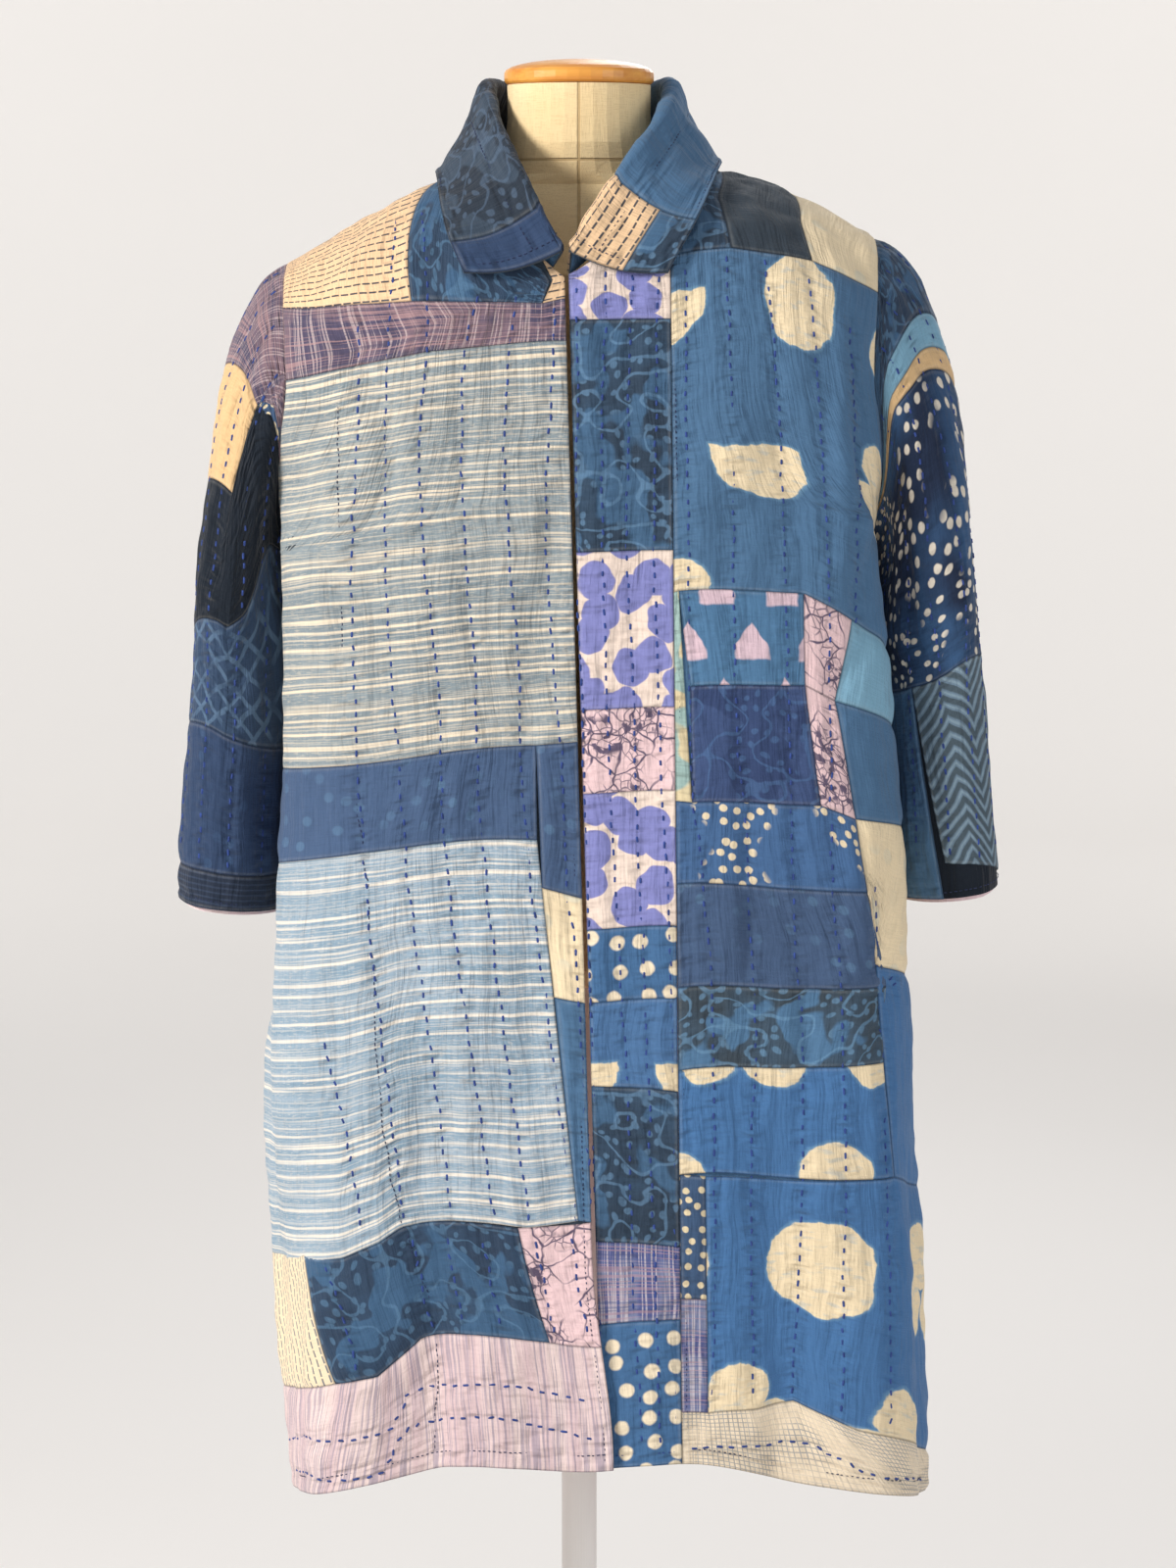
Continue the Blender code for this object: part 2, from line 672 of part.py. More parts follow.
def sleeve(side, loop, away, facing):
    """A sleeve: rings from the armhole loop round to a level cuff."""
    sign = -1 if side == "right" else 1
    sizes = {name: column(SLEEVE_ROWS[side], SLEEVE_COLUMNS, name) for name in SLEEVE_COLUMNS}
    count = len(loop)
    around = np.linspace(0, 360, count, endpoint=False)
    turn = np.radians(around)
    rings = np.zeros((count, SLEEVE_RINGS + 1, 3))
    for j in range(SLEEVE_RINGS + 1):
        down = j / SLEEVE_RINGS
        size = {name: curve(sizes["down"], values, down) for name, values in sizes.items()}
        bulge = 0.0 * around
        for row in SLEEVE_FOLD_ROWS:
            fold = dict(zip(SLEEVE_FOLD_COLUMNS, row))
            gap = (around - fold["around"] + 180) % 360 - 180
            growth = ease(down, fold["start"], 1.0)
            bulge = bulge + fold["depth"] * np.exp(-((gap / fold["spread"]) ** 2)) * growth
        near = np.abs(np.cos(turn)) ** (2 / SLEEVE_POWER) * np.sign(np.cos(turn))
        deep = np.abs(np.sin(turn)) ** (2 / SLEEVE_POWER) * np.sign(np.sin(turn))
        swell = 1 + bulge / size["half_depth"]
        outward = (1 + near) / 2
        x = size["inner_x"] + outward * (size["outer_x"] - size["inner_x"])
        z = size["inner_z"] + outward * (size["outer_z"] - size["inner_z"])
        y = -deep * size["half_depth"] * swell
        x = x - y * SLEEVE_TILT * ease(down, 0, 0.5)
        y = y + SLEEVE_CENTRE_Y * ease(down, 0, 0.4)
        ring = np.stack([sign * x, y, z], -1)
        start = loop + (away + facing) * CLEAR_OF_EDGE
        under = ((1 - np.cos(turn)) / 2)[:, None] ** 4
        over = np.array([sign * PUSH_OUT[0], 0, PUSH_OUT[1]])
        below = np.array([sign * PUSH_UNDER[0], 0, PUSH_UNDER[1]])
        start = start + ((1 - under) * over + under * below) * SLEEVE_PUSH * down
        rings[:, j] = start + (ring - start) * ease(down, *SLEEVE_BLEND)
    closed = np.concatenate([rings[-1:], rings, rings[:1]])
    normals = surface_normals(closed)[1:-1] * sign
    inward = -normals[:, 0]
    back = np.minimum((inward * away).sum(1, keepdims=True), 0)
    inward = inward - back * away
    inward /= np.linalg.norm(inward, axis=1, keepdims=True)
    inner = rings - normals * WALL
    inner[:, 0] = rings[:, 0] + inward * WALL
    raised = quilt(count, 1)[:, None, None] * np.ones((1, SLEEVE_RINGS + 1, 1))
    raised[:, :2] = 0
    raised[:, -1] = 0
    outer = rings + normals * raised
    faces = grid_faces(count, SLEEVE_RINGS + 1, closed=True)
    if side == "right":
        faces = [tuple(reversed(face)) for face in faces]
    wall("sleeve_" + side, outer.reshape(-1, 3), inner.reshape(-1, 3), faces, "dark_cotton")
    lining(side, rings, normals, faces_turned=side == "right")


def lining(side, rings, normals, faces_turned):
    """The pale lining just inside the cuff, showing a few millimetres below it."""
    down = rings[:, -1] - rings[:, -2]
    down /= np.linalg.norm(down, axis=1, keepdims=True)
    inside = WALL + 2 * SEAM_GAP
    bottom = rings[:, -1] - normals[:, -1] * inside + down * LINING_DROP
    top = rings[:, -1] - normals[:, -1] * inside - down * LINING_RISE
    outer = np.stack([top, bottom], 1)
    inner = outer - normals[:, -1:] * LINING_WALL
    faces = grid_faces(len(outer), 2, closed=True)
    if faces_turned:
        faces = [tuple(reversed(face)) for face in faces]
    name = "cuff_lining_" + side
    wall(name, outer.reshape(-1, 3), inner.reshape(-1, 3), faces, "lining_cotton")


def neckline(fronts, backs):
    """The neckline from the right front corner round the back, with the panels' normals."""
    rows = rise_rows()
    above = rows >= NECK_CORNER
    behind = rows > BACK_NECK
    middle = int((rows <= BACK_NECK).sum()) - 1
    line, facing = [], []
    for grid, picked, step in (
        (fronts["right"], above, 1),
        (backs["right"], behind, -1),
        (backs["left"], np.arange(len(rows)) == middle, 1),
        (backs["left"], behind, 1),
        (fronts["left"], rows > band_rise, -1),
    ):
        line += list(grid[0][0, picked][::step])
        facing += list(grid[1][0, picked][::step])
    for x, rise in ((BAND_TOP_X, band_rise), (CORNER_X["left"], NECK_CORNER)):
        line.append(shell(angle_at(x, BAND_CORNER_HEIGHT), rise, NECK_POINT_HEIGHT))
        facing.append((0, -1, 0))
    return np.array(line), np.array(facing)


def along_line(points, places, values=None):
    """Points, or values that go with them, at shares of the length of a line of points."""
    run = np.concatenate([[0], np.cumsum(np.linalg.norm(np.diff(points, axis=0), axis=1))])
    run /= run[-1]
    values = points if values is None else values
    return np.stack([np.interp(places, run, values[:, k]) for k in range(3)], -1)


def collar(line, facing):
    """The fold-over collar: a stand up from the neckline, a tight roll and a fall outside."""
    tables = {name: column(COLLAR_ROWS, COLLAR_COLUMNS, name) for name in COLLAR_COLUMNS}
    stations = np.linspace(-1, 1, COLLAR_STATIONS + 1)
    seams = along_line(line, (stations + 1) / 2)
    covers = along_line(line, (stations + 1) / 2, facing)
    rows = COLLAR_STAND_ROWS + COLLAR_ROLL_ROWS + COLLAR_FALL_ROWS + 1
    grid = np.zeros((len(stations), rows, 3))
    for i, station in enumerate(stations):
        sign = -1 if station < 0 else 1
        place = abs(station)
        size = {name: float(curve(tables["along"], table, place)) for name, table in tables.items()}
        shift = COLLAR_END_SHIFT * float(ease(place, COLLAR_SHIFT_START, 1.0))
        top = np.array([sign * size["roll_x"] + shift, size["roll_y"], size["roll_z"]])
        lift = size["left_lift"] * (station > 0)
        edge = np.array([sign * size["fall_x"] + shift, size["fall_y"], size["fall_z"] + lift])
        out = np.array([top[0], top[1], 0.0])
        out /= np.linalg.norm(out)
        inset = WALL + 2 * CLEAR_OF_EDGE + WALL * abs(float(covers[i] @ out))
        foot = seams[i] - out * inset
        start = top - out * COLLAR_ROLL_RADIUS
        stand_shares = [k / COLLAR_STAND_ROWS for k in range(COLLAR_STAND_ROWS)]
        points = [foot + (start - foot) * share for share in stand_shares]
        for k in range(COLLAR_ROLL_ROWS + 1):
            turn = math.pi * k / COLLAR_ROLL_ROWS
            up = np.array([0, 0, COLLAR_ROLL_RADIUS * math.sin(turn)])
            points.append(top - out * COLLAR_ROLL_RADIUS * math.cos(turn) + up)
        start = top + out * COLLAR_ROLL_RADIUS
        for k in range(1, COLLAR_FALL_ROWS + 1):
            share = k / COLLAR_FALL_ROWS
            sag = np.array([0, 0, -COLLAR_SAG * math.sin(math.pi * share)])
            points.append(start + (edge - start) * share + sag)
        grid[i] = points
    normals = surface_normals(grid)
    outer = grid.reshape(-1, 3)
    inner = (grid - normals * WALL).reshape(-1, 3)
    wall("collar", outer, inner, grid_faces(*grid.shape[:2]), "dark_cotton")


def form_rows():
    """Every ring of the dress form: the torso, the shoulders under the coat and the neck."""
    rows = []
    for height, width, depth, centre in FORM_ROWS:
        rows.append((height, width, width, depth, centre))
    low = FORM_ROWS[-1][0]
    high = FORM_SHOULDER_TOP
    for k in range(1, FORM_SHOULDER_STEPS + 1):
        t = k / FORM_SHOULDER_STEPS
        height = low + (high - low) * t
        wide = [shoulder_x(height + WALL + FORM_UNDER_CLOTH, side) for side in ("right", "left")]
        limit = FORM_ROWS[-1][1] + FORM_SHOULDER_SPARE * (1 - t)
        wide = [min(w, limit * (1 - FORM_SHOULDER_TAPER * t ** 3)) for w in wide]
        deep, shallow = FORM_SHOULDER_DEPTH
        depth = deep + (shallow - deep) * t ** FORM_SHOULDER_SLOPE
        rows.append((height, wide[0], wide[1], depth, FORM_SHOULDER_CENTRE))
    for height, width, depth, centre in FORM_NECK_ROWS:
        rows.append((height, width, width, depth, centre))
    return rows


def dress_form():
    """The canvas form: rings lofted from the closed bottom to the top of the neck."""
    turn = np.linspace(0, 2 * math.pi, FORM_SIDES, endpoint=False)
    rows = form_rows()
    points = []
    for height, right, left, depth, centre in rows:
        x = np.sin(turn) * np.where(np.sin(turn) < 0, right, left)
        y = -np.cos(turn) * depth + centre
        points += [(x[k], y[k], height) for k in range(FORM_SIDES)]
    faces = []
    for j in range(len(rows) - 1):
        for k in range(FORM_SIDES):
            m = (k + 1) % FORM_SIDES
            low, high = j * FORM_SIDES, (j + 1) * FORM_SIDES
            faces.append((low + k, low + m, high + m, high + k))
    faces.append(tuple(reversed(range(FORM_SIDES))))
    last = (len(rows) - 1) * FORM_SIDES
    faces.append(tuple(last + k for k in range(FORM_SIDES)))
    mesh = bpy.data.meshes.new("form_body")
    mesh.from_pydata(points, [], faces)
    finish_piece("form_body", mesh, "form_canvas")


def turned(name, profile, finish):
    """A turned piece: a closed profile of radius and height, screwed round the pole's axis."""
    mesh = bpy.data.meshes.new(name)
    points = [(r, 0, z) for r, z in profile]
    mesh.from_pydata(points, [(k, k + 1) for k in range(len(points) - 1)], [])
    piece = finish_piece(name, mesh, finish)
    spin = piece.modifiers.new("turn", "SCREW")
    spin.steps = TURNED_STEPS
    spin.render_steps = TURNED_STEPS
    spin.use_merge_vertices = True
    spin.merge_threshold = 0.00001
    spin.use_normal_calculate = False
    return piece


def arc(centre_r, centre_z, size_r, size_z, start, end, steps):
    """Points of a round corner of a profile, between two angles in degrees."""
    turns = np.radians(np.linspace(start, end, steps + 1))
    return [(centre_r + size_r * math.cos(t), centre_z + size_z * math.sin(t)) for t in turns]


def stand():
    """The cap on the neck, and the pole and base that the form stands on."""
    side = CAP_HEIGHT * CAP_SIDE_SHARE
    small = EDGE_ROUND
    cap = [(0, CAP_BOTTOM + CAP_HEIGHT)]
    cap += arc(0, CAP_BOTTOM + side, CAP_RADIUS, CAP_HEIGHT - side, 75, 0, 6)
    cap += arc(CAP_RADIUS - small, CAP_BOTTOM + small, small, small, 0, -90, 3)
    cap += [(0, CAP_BOTTOM)]
    turned("neck_cap", cap, "turned_wood")
    top = FORM_ROWS[0][0] - SEAM_GAP
    pole = [(0, top), (POLE_RADIUS, top), (POLE_RADIUS, POLE_SOCKET), (0, POLE_SOCKET)]
    turned("pole", pole, "painted_steel")
    hole = POLE_RADIUS + SEAM_GAP
    base = [(0, POLE_SOCKET - SEAM_GAP), (hole, POLE_SOCKET - SEAM_GAP), (hole, HUB_HEIGHT)]
    base += arc(HUB_RADIUS - small, HUB_HEIGHT - small, small, small, 90, 0, 2)
    base += [(HUB_RADIUS, BASE_HEIGHT + HUB_FOOT[1]), (HUB_RADIUS + HUB_FOOT[0], BASE_HEIGHT)]
    wide = BASE_ROUND
    base += arc(BASE_RADIUS - wide, BASE_HEIGHT - wide, wide, wide, 90, 0, 5)
    base += [(BASE_RADIUS - small, 0), (0, 0)]
    turned("base", base, "turned_wood")


for old in list(bpy.data.objects):
    bpy.data.objects.remove(old, do_unlink=True)
parts = bpy.data.collections.new(OBJECT)
bpy.context.scene.collection.children.link(parts)

band_rise = neck_rise(BAND_TOP_X, CORNER_X["left"])

right_front = front_panel("right")
left_front = front_panel("left")
front_band()
back_grids = back_panel()
sleeve("right", *armhole_loop(right_front, back_grids["right"]))
sleeve("left", *armhole_loop(left_front, back_grids["left"]))
collar(*neckline({"right": right_front, "left": left_front}, back_grids))
dress_form()
stand()
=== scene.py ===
"""The patchwork happi coat on its dress form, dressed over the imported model.

Sizes are metres in the model's own frame: +Z is up, the front faces -Y, the wearer's left is +X.
"""

import math

import bpy
import numpy as np
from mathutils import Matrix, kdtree


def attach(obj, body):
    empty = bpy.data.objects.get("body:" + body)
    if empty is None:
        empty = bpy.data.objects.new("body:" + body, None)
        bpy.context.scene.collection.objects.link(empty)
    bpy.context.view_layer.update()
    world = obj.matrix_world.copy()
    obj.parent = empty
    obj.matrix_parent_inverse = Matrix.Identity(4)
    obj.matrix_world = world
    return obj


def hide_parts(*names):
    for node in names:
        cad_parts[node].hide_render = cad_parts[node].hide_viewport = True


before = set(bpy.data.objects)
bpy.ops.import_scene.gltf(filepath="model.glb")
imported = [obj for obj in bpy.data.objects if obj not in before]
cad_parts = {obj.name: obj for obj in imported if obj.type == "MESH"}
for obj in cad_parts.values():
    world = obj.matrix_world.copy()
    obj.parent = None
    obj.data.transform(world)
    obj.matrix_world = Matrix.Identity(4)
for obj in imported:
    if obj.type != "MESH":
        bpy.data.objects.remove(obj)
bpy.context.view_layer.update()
bpy.ops.object.select_all(action="DESELECT")


# The view: a camera about 3.2 m in front, at chest height and tipped a little down.
# Its lens and shift frame the coat as the photograph does, cap at the top and hem at the foot.
VIEW_PLACE = np.array([0.007, -3.2, 1.36])
VIEW_PITCH = math.radians(4.25)
VIEW_LENS = 93.5
VIEW_SENSOR = 36.0
VIEW_SHIFT = -0.14
PICTURE = (1200, 1600)

bpy.ops.object.camera_add(location=VIEW_PLACE, rotation=(math.pi / 2 - VIEW_PITCH, 0, 0))
camera = bpy.context.object
camera.name = "studio_camera"
camera.data.lens = VIEW_LENS
camera.data.sensor_width = VIEW_SENSOR
camera.data.shift_y = VIEW_SHIFT
camera.data.clip_end = 60
bpy.context.scene.camera = camera


def on_picture(points):
    """Where points of the model fall in the picture, counted from its top left corner."""
    off = points - VIEW_PLACE
    depth = off[..., 1] * math.cos(VIEW_PITCH) - off[..., 2] * math.sin(VIEW_PITCH)
    up = off[..., 1] * math.sin(VIEW_PITCH) + off[..., 2] * math.cos(VIEW_PITCH)
    reach = PICTURE[1] * VIEW_LENS / VIEW_SENSOR
    across = PICTURE[0] / 2 + reach * off[..., 0] / depth
    down = PICTURE[1] / 2 - reach * up / depth + PICTURE[1] * VIEW_SHIFT
    return np.stack([across, down], -1)


# The studio: a pale seamless paper sweep with a soft box on the left, weaker ones on the right
# and behind, and two that light the paper. The paper is matt, with a faint mottle and no shine.
class Wire:
    """One output in a material. Sums written with it become Math nodes."""

    def __init__(self, finish, socket):
        self.finish = finish
        self.socket = socket

    def math(self, operation, *others, clamp=False):
        settings = {"operation": operation, "use_clamp": clamp}
        return self.finish.add("Math", settings, dict(enumerate((self, *others))))

    def __add__(self, other):
        return self.math("ADD", other)

    def __sub__(self, other):
        return self.math("SUBTRACT", other)

    def __mul__(self, other):
        return self.math("MULTIPLY", other)

    def __truediv__(self, other):
        return self.math("DIVIDE", other)

    def __rsub__(self, other):
        return self.finish.add("Math", {"operation": "SUBTRACT"}, {0: other, 1: self})

    __radd__ = __add__
    __rmul__ = __mul__

    def over(self, edge, soft=0.02):
        """0 below an edge and 1 above it, with a soft step between."""
        return ((self - edge) / soft + 0.5).math("ADD", 0.0, clamp=True)

    def under(self, edge, soft=0.02):
        return 1 - self.over(edge, soft)

    def most(self, other):
        return self.math("MAXIMUM", other)

    def part(self):
        return self.math("FRACT")


def dye(code):
    """A colour as the shader wants it, from its usual six-figure code."""
    shares = [int(code[k:k + 2], 16) / 255 for k in (1, 3, 5)]
    return (*(s / 12.92 if s <= 0.04045 else ((s + 0.055) / 1.055) ** 2.4 for s in shares), 1.0)


class Finish:
    """A procedural material: its shader and the nodes that feed it."""

    def __init__(self, name, constants):
        self.material = bpy.data.materials.new(name)
        self.material.use_nodes = True
        self.nodes = self.material.node_tree.nodes
        self.shader = self.nodes["Principled BSDF"]
        for socket, value in constants.items():
            self.shader.inputs[socket].default_value = value

    def add(self, kind, settings=None, sockets=None, out=0):
        """A node of one kind, with its settings first and then its sockets."""
        node = self.nodes.new("ShaderNode" + kind)
        for key, value in (settings or {}).items():
            setattr(node, key, value)
        for key, value in (sockets or {}).items():
            self.join(value, node.inputs[key])
        return Wire(self, node.outputs[out])

    def join(self, value, socket):
        if isinstance(value, Wire):
            self.material.node_tree.links.new(value.socket, socket)
        elif socket.type == "VECTOR":
            socket.default_value = value[:3]
        else:
            socket.default_value = value

    def blend(self, share, low, high):
        return self.add("Mix", {"data_type": "RGBA"}, {0: share, 6: low, 7: high}, out=2)

    def scaled(self, place, times):
        return self.add("VectorMath", {"operation": "MULTIPLY"}, {0: place, 1: times})

    def moved(self, place, by):
        return self.add("VectorMath", {"operation": "ADD"}, {0: place, 1: by})

    def noise(self, place, scale, detail=2.0, rough=0.5):
        """Cloudy noise; scale is how many grains there are in a metre each way."""
        sockets = {"Vector": self.scaled(place, scale), "Scale": 1.0, "Detail": detail, "Roughness": rough}
        return self.add("TexNoise", {}, sockets)

    def warped(self, place, scale, by):
        """A place pushed about by coloured noise, so that what is drawn there isn't straight."""
        sockets = {"Vector": place, "Scale": scale, "Detail": 1.0}
        push = self.add("TexNoise", {}, sockets, out=1)
        push = self.scaled(self.moved(push, (-0.5, -0.5, -0.5)), (by, by, 0.0))
        return self.moved(place, push)

    def cells(self, place, scale, feature="F1", random=1.0, out=0):
        settings = {"feature": feature, "voronoi_dimensions": "2D"}
        sockets = {"Vector": place, "Scale": scale, "Randomness": random}
        return self.add("TexVoronoi", settings, sockets, out=out)

    def split(self, place):
        node = self.add("SeparateXYZ", {}, {0: place}).socket.node
        return Wire(self, node.outputs[0]), Wire(self, node.outputs[1])

    def relief(self, height, depth=0.001):
        """Bump: height is in units of depth, which is in metres."""
        bump = self.add("Bump", {}, {"Strength": 1.0, "Distance": depth, "Height": height})
        self.join(bump, self.shader.inputs["Normal"])


def board(name, colour):
    finish = Finish(name, {"Roughness": 0.95, "Specular IOR Level": 0.1})
    place = finish.add("TexCoord", out=3)
    mottle = finish.noise(place, (0.6, 0.6, 0.6), 3)
    shade = tuple(0.96 * c for c in dye(colour)[:3]) + (1.0,)
    finish.join(finish.blend(mottle, shade, dye(colour)), finish.shader.inputs["Base Color"])
    return finish.material


PAPER_REACH, PAPER_BEND_START, PAPER_BEND, PAPER_TOP = 9.0, 6.4, 2.2, 8.0
sweep_profile = [(-PAPER_REACH, 0.0), (PAPER_BEND_START, 0.0)]
for step in range(1, 13):
    turn = math.pi / 2 * step / 12
    sweep_profile.append((PAPER_BEND_START + PAPER_BEND * math.sin(turn), PAPER_BEND - PAPER_BEND * math.cos(turn)))
sweep_profile.append((PAPER_BEND_START + PAPER_BEND, PAPER_TOP))
sweep_mesh = bpy.data.meshes.new("paper_sweep")
sweep_mesh.from_pydata(
    [(x, y, z - 0.0005) for y, z in sweep_profile for x in (-PAPER_REACH, PAPER_REACH)],
    [],
    [(2 * k, 2 * k + 1, 2 * k + 3, 2 * k + 2) for k in range(len(sweep_profile) - 1)],
)
sweep_mesh.shade_smooth()
sweep_mesh.materials.append(board("paper", "#f4f1ee"))
paper_sweep = bpy.data.objects.new("paper_sweep", sweep_mesh)
bpy.context.collection.objects.link(paper_sweep)


def soft_box(name, place, aim, size, power, colour):
    bpy.ops.object.light_add(type="AREA", location=place)
    lamp = bpy.context.object
    lamp.name = name
    away = np.array(place) - np.array(aim)
    flat = math.hypot(away[0], away[1])
    lamp.rotation_euler = (math.atan2(flat, away[2]), 0, math.atan2(away[0], -away[1]))
    lamp.data.shape = "RECTANGLE"
    lamp.data.size = size
    lamp.data.size_y = size
    lamp.data.energy = power
    lamp.data.color = colour


soft_box("key_box", (-2.7, -1.8, 2.5), (0, 0, 0.95), 0.8, 124, (1.0, 0.97, 0.93))
soft_box("fill_box", (2.7, -2.3, 1.6), (0, 0, 0.9), 2.2, 30, (0.94, 0.97, 1.0))
soft_box("back_box", (0.8, 2.6, 2.7), (0, 0, 1.1), 1.6, 28, (1.0, 1.0, 1.0))
for side in (-1, 1):
    soft_box("paper_box", (3.4 * side, 4.6, 3.4), (0.6 * side, 8.6, 1.9), 2.4, 80, (1.0, 0.99, 0.97))
world = bpy.data.worlds.new("studio_air")
world.use_nodes = True
world.node_tree.nodes["Background"].inputs["Color"].default_value = (0.93, 0.93, 0.95, 1.0)
world.node_tree.nodes["Background"].inputs["Strength"].default_value = 0.40
bpy.context.scene.world = world
bpy.context.scene.view_settings.view_transform = "Standard"


# The stand: a turned wooden base and neck cap in clear varnish, and a pale painted steel pole.
# The canvas form's neck shows above the coat, with its upright and level seams.
def put_on(node, finish):
    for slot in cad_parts[node].material_slots:
        slot.material = finish.material


def wood(name, light, dark, grain):
    finish = Finish(name, {"Roughness": 0.38, "Coat Weight": 0.25, "Coat Roughness": 0.2})
    place = finish.add("TexCoord", out=3)
    rings = finish.noise(finish.warped(place, 6.0, 0.02), grain, 4, 0.6)
    pores = finish.noise(place, tuple(5 * g for g in grain), 2)
    tone = finish.blend(rings.over(0.5, 0.30), dye(dark), dye(light))
    tone = finish.blend(pores.over(0.64, 0.08) * 0.35, tone, dye(dark))
    finish.join(tone, finish.shader.inputs["Base Color"])
    finish.relief(rings * 0.3 - pores * 0.2, 0.0004)
    return finish


put_on("neck_cap", wood("cap_wood", "#f0ab4e", "#d88a36", (6.0, 60.0, 160.0)))
put_on("base", wood("base_wood", "#d8a765", "#b07a3c", (9.0, 70.0, 70.0)))

paint = Finish("pole_paint", {"Roughness": 0.35, "Coat Weight": 0.3})
paint_place = paint.add("TexCoord", out=3)
paint_runs = paint.noise(paint_place, (60.0, 60.0, 8.0), 3)
paint.join(paint.blend(paint_runs, dye("#e9e6e1"), dye("#f3f1ee")), paint.shader.inputs["Base Color"])
paint.relief(paint_runs, 0.0002)
put_on("pole", paint)

canvas = Finish("form_canvas", {"Roughness": 0.9, "Sheen Weight": 0.1})
canvas_place = canvas.add("TexCoord", out=3)
canvas_fade = canvas.noise(canvas_place, (9.0, 9.0, 9.0), 4, 0.6)
canvas_weft = canvas.noise(canvas_place, (120.0, 120.0, 1600.0), 1)
canvas_warp = canvas.noise(canvas_place, (1500.0, 1500.0, 90.0), 1)
canvas_tone = canvas.blend(canvas_fade.over(0.5, 0.5), dye("#f3d6a2"), dye("#fae4b8"))
canvas_tone = canvas.blend((canvas_weft + canvas_warp).over(1.12, 0.2) * 0.30, canvas_tone, dye("#cfae79"))
LEVEL_SEAM = 1.4385
canvas_parts = canvas.add("SeparateXYZ", {}, {0: canvas_place}).socket.node
canvas_seam = Wire(canvas, canvas_parts.outputs[0]).math("ABSOLUTE").under(0.0011, 0.0008)
level_seam = (Wire(canvas, canvas_parts.outputs[2]) - LEVEL_SEAM).math("ABSOLUTE").under(0.0010, 0.0008)
canvas_seam = canvas_seam.most(level_seam)
canvas_tone = canvas.blend(canvas_seam * 0.55, canvas_tone, dye("#a98550"))
canvas.join(canvas_tone, canvas.shader.inputs["Base Color"])
canvas.relief(canvas_weft + canvas_warp - canvas_seam * 2.5, 0.0003)
put_on("form_body", canvas)


# The coat's body: two fronts, a strip down the wearer's left edge and a back, cut from patched
# cotton and sewn at the shoulders and sides. All of them lie on the one hanging body surface.
BODY_ROWS = (
    # height, right, left, front, back
    (0.40, 0.226, 0.272, 0.146, 0.150),
    (0.52, 0.232, 0.268, 0.142, 0.148),
    (0.64, 0.241, 0.262, 0.138, 0.146),
    (0.76, 0.243, 0.260, 0.134, 0.144),
    (0.88, 0.246, 0.269, 0.131, 0.140),
    (0.98, 0.241, 0.260, 0.129, 0.136),
    (1.08, 0.239, 0.250, 0.128, 0.132),
    (1.18, 0.240, 0.245, 0.127, 0.128),
    (1.28, 0.243, 0.247, 0.126, 0.124),
    (1.46, 0.243, 0.247, 0.124, 0.120),
)
HEM_ROWS = (
    # angle, height
    (-180, 0.418), (-130, 0.408), (-90, 0.392), (-58, 0.414), (-40, 0.436), (0, 0.438),
    (38, 0.440), (56, 0.420), (90, 0.388), (130, 0.410), (180, 0.418),
)
FOLD_ROWS = (
    # angle, spread, depth, top
    (-55, 9, 0.020, 1.00), (-41, 6, -0.013, 0.98), (-20, 9, 0.006, 0.90), (22, 8, 0.005, 0.85),
    (51, 6, -0.014, 1.00), (64, 8, 0.018, 1.05), (104, 9, -0.010, 0.80), (122, 9, 0.018, 1.00),
    (140, 7, -0.012, 0.95), (163, 10, 0.010, 0.85), (-168, 9, -0.010, 0.90),
    (-146, 10, 0.014, 1.00), (-126, 8, -0.014, 0.95), (-108, 8, 0.012, 0.85),
)
NECK_HEIGHT = 1.432
NECK_X = 0.085
MEAN_HEM = 0.43
ROLL_START = 0.90
UNDERARM = 0.758
NECK_CORNER = 0.918
BACK_NECK = 0.975
SHOULDER = {"right": (0.2276, 0.075, 1.12), "left": (0.2315, 0.057, 1.70)}
CORNER_X = {"right": 0.0115, "left": -0.0080}
BODY_BOXINESS = 3.4
SLEEVE_BOXINESS = 2.3
BAND_TOP_X = 0.069
SEAM_GAP = 0.00015


def curve(rows, name, at):
    """A smooth line through one column of a table, read at the places of its first column."""
    places = np.array([row[0] for row in rows], float)
    values = np.array([row[name] for row in rows], float)
    slopes = np.gradient(values, places)
    at = np.clip(at, places[0], places[-1])
    k = np.clip(np.searchsorted(places, at) - 1, 0, len(places) - 2)
    span = places[k + 1] - places[k]
    t = (at - places[k]) / span
    return (
        (1 + 2 * t) * (1 - t) ** 2 * values[k]
        + t * (1 - t) ** 2 * span * slopes[k]
        + t * t * (3 - 2 * t) * values[k + 1]
        + t * t * (t - 1) * span * slopes[k + 1]
    )


def ease(value, low, high):
    t = np.clip((value - low) / (high - low), 0, 1)
    return t * t * (3 - 2 * t)


def radius(angle, height):
    """The body's distance from the pole's axis: a boxy round, pressed in under the sleeves."""
    turn = np.radians(angle)
    width = np.where(angle < 0, curve(BODY_ROWS, 1, height), curve(BODY_ROWS, 2, height))
    depth = np.where(np.abs(angle) < 90, curve(BODY_ROWS, 3, height), curve(BODY_ROWS, 4, height))
    power = BODY_BOXINESS
    base = ((np.abs(np.sin(turn)) / width) ** power + (np.abs(np.cos(turn)) / depth) ** power) ** (-1 / power)
    reach = ease(height, 0.74, 0.86) * (1 - ease(height, 1.10, 1.27))
    off = np.abs(angle) - 96
    spread = np.where(off < 0, 15, 26)
    base = base - np.where(angle < 0, 0.052, 0.062) * reach * np.exp(-((off / spread) ** 2))
    for at, wide, deep, top in FOLD_ROWS:
        turn = (angle - at + 180) % 360 - 180
        base = base + deep * np.exp(-((turn / wide) ** 2)) * ease(top - height, 0, top - 0.40)
    return base


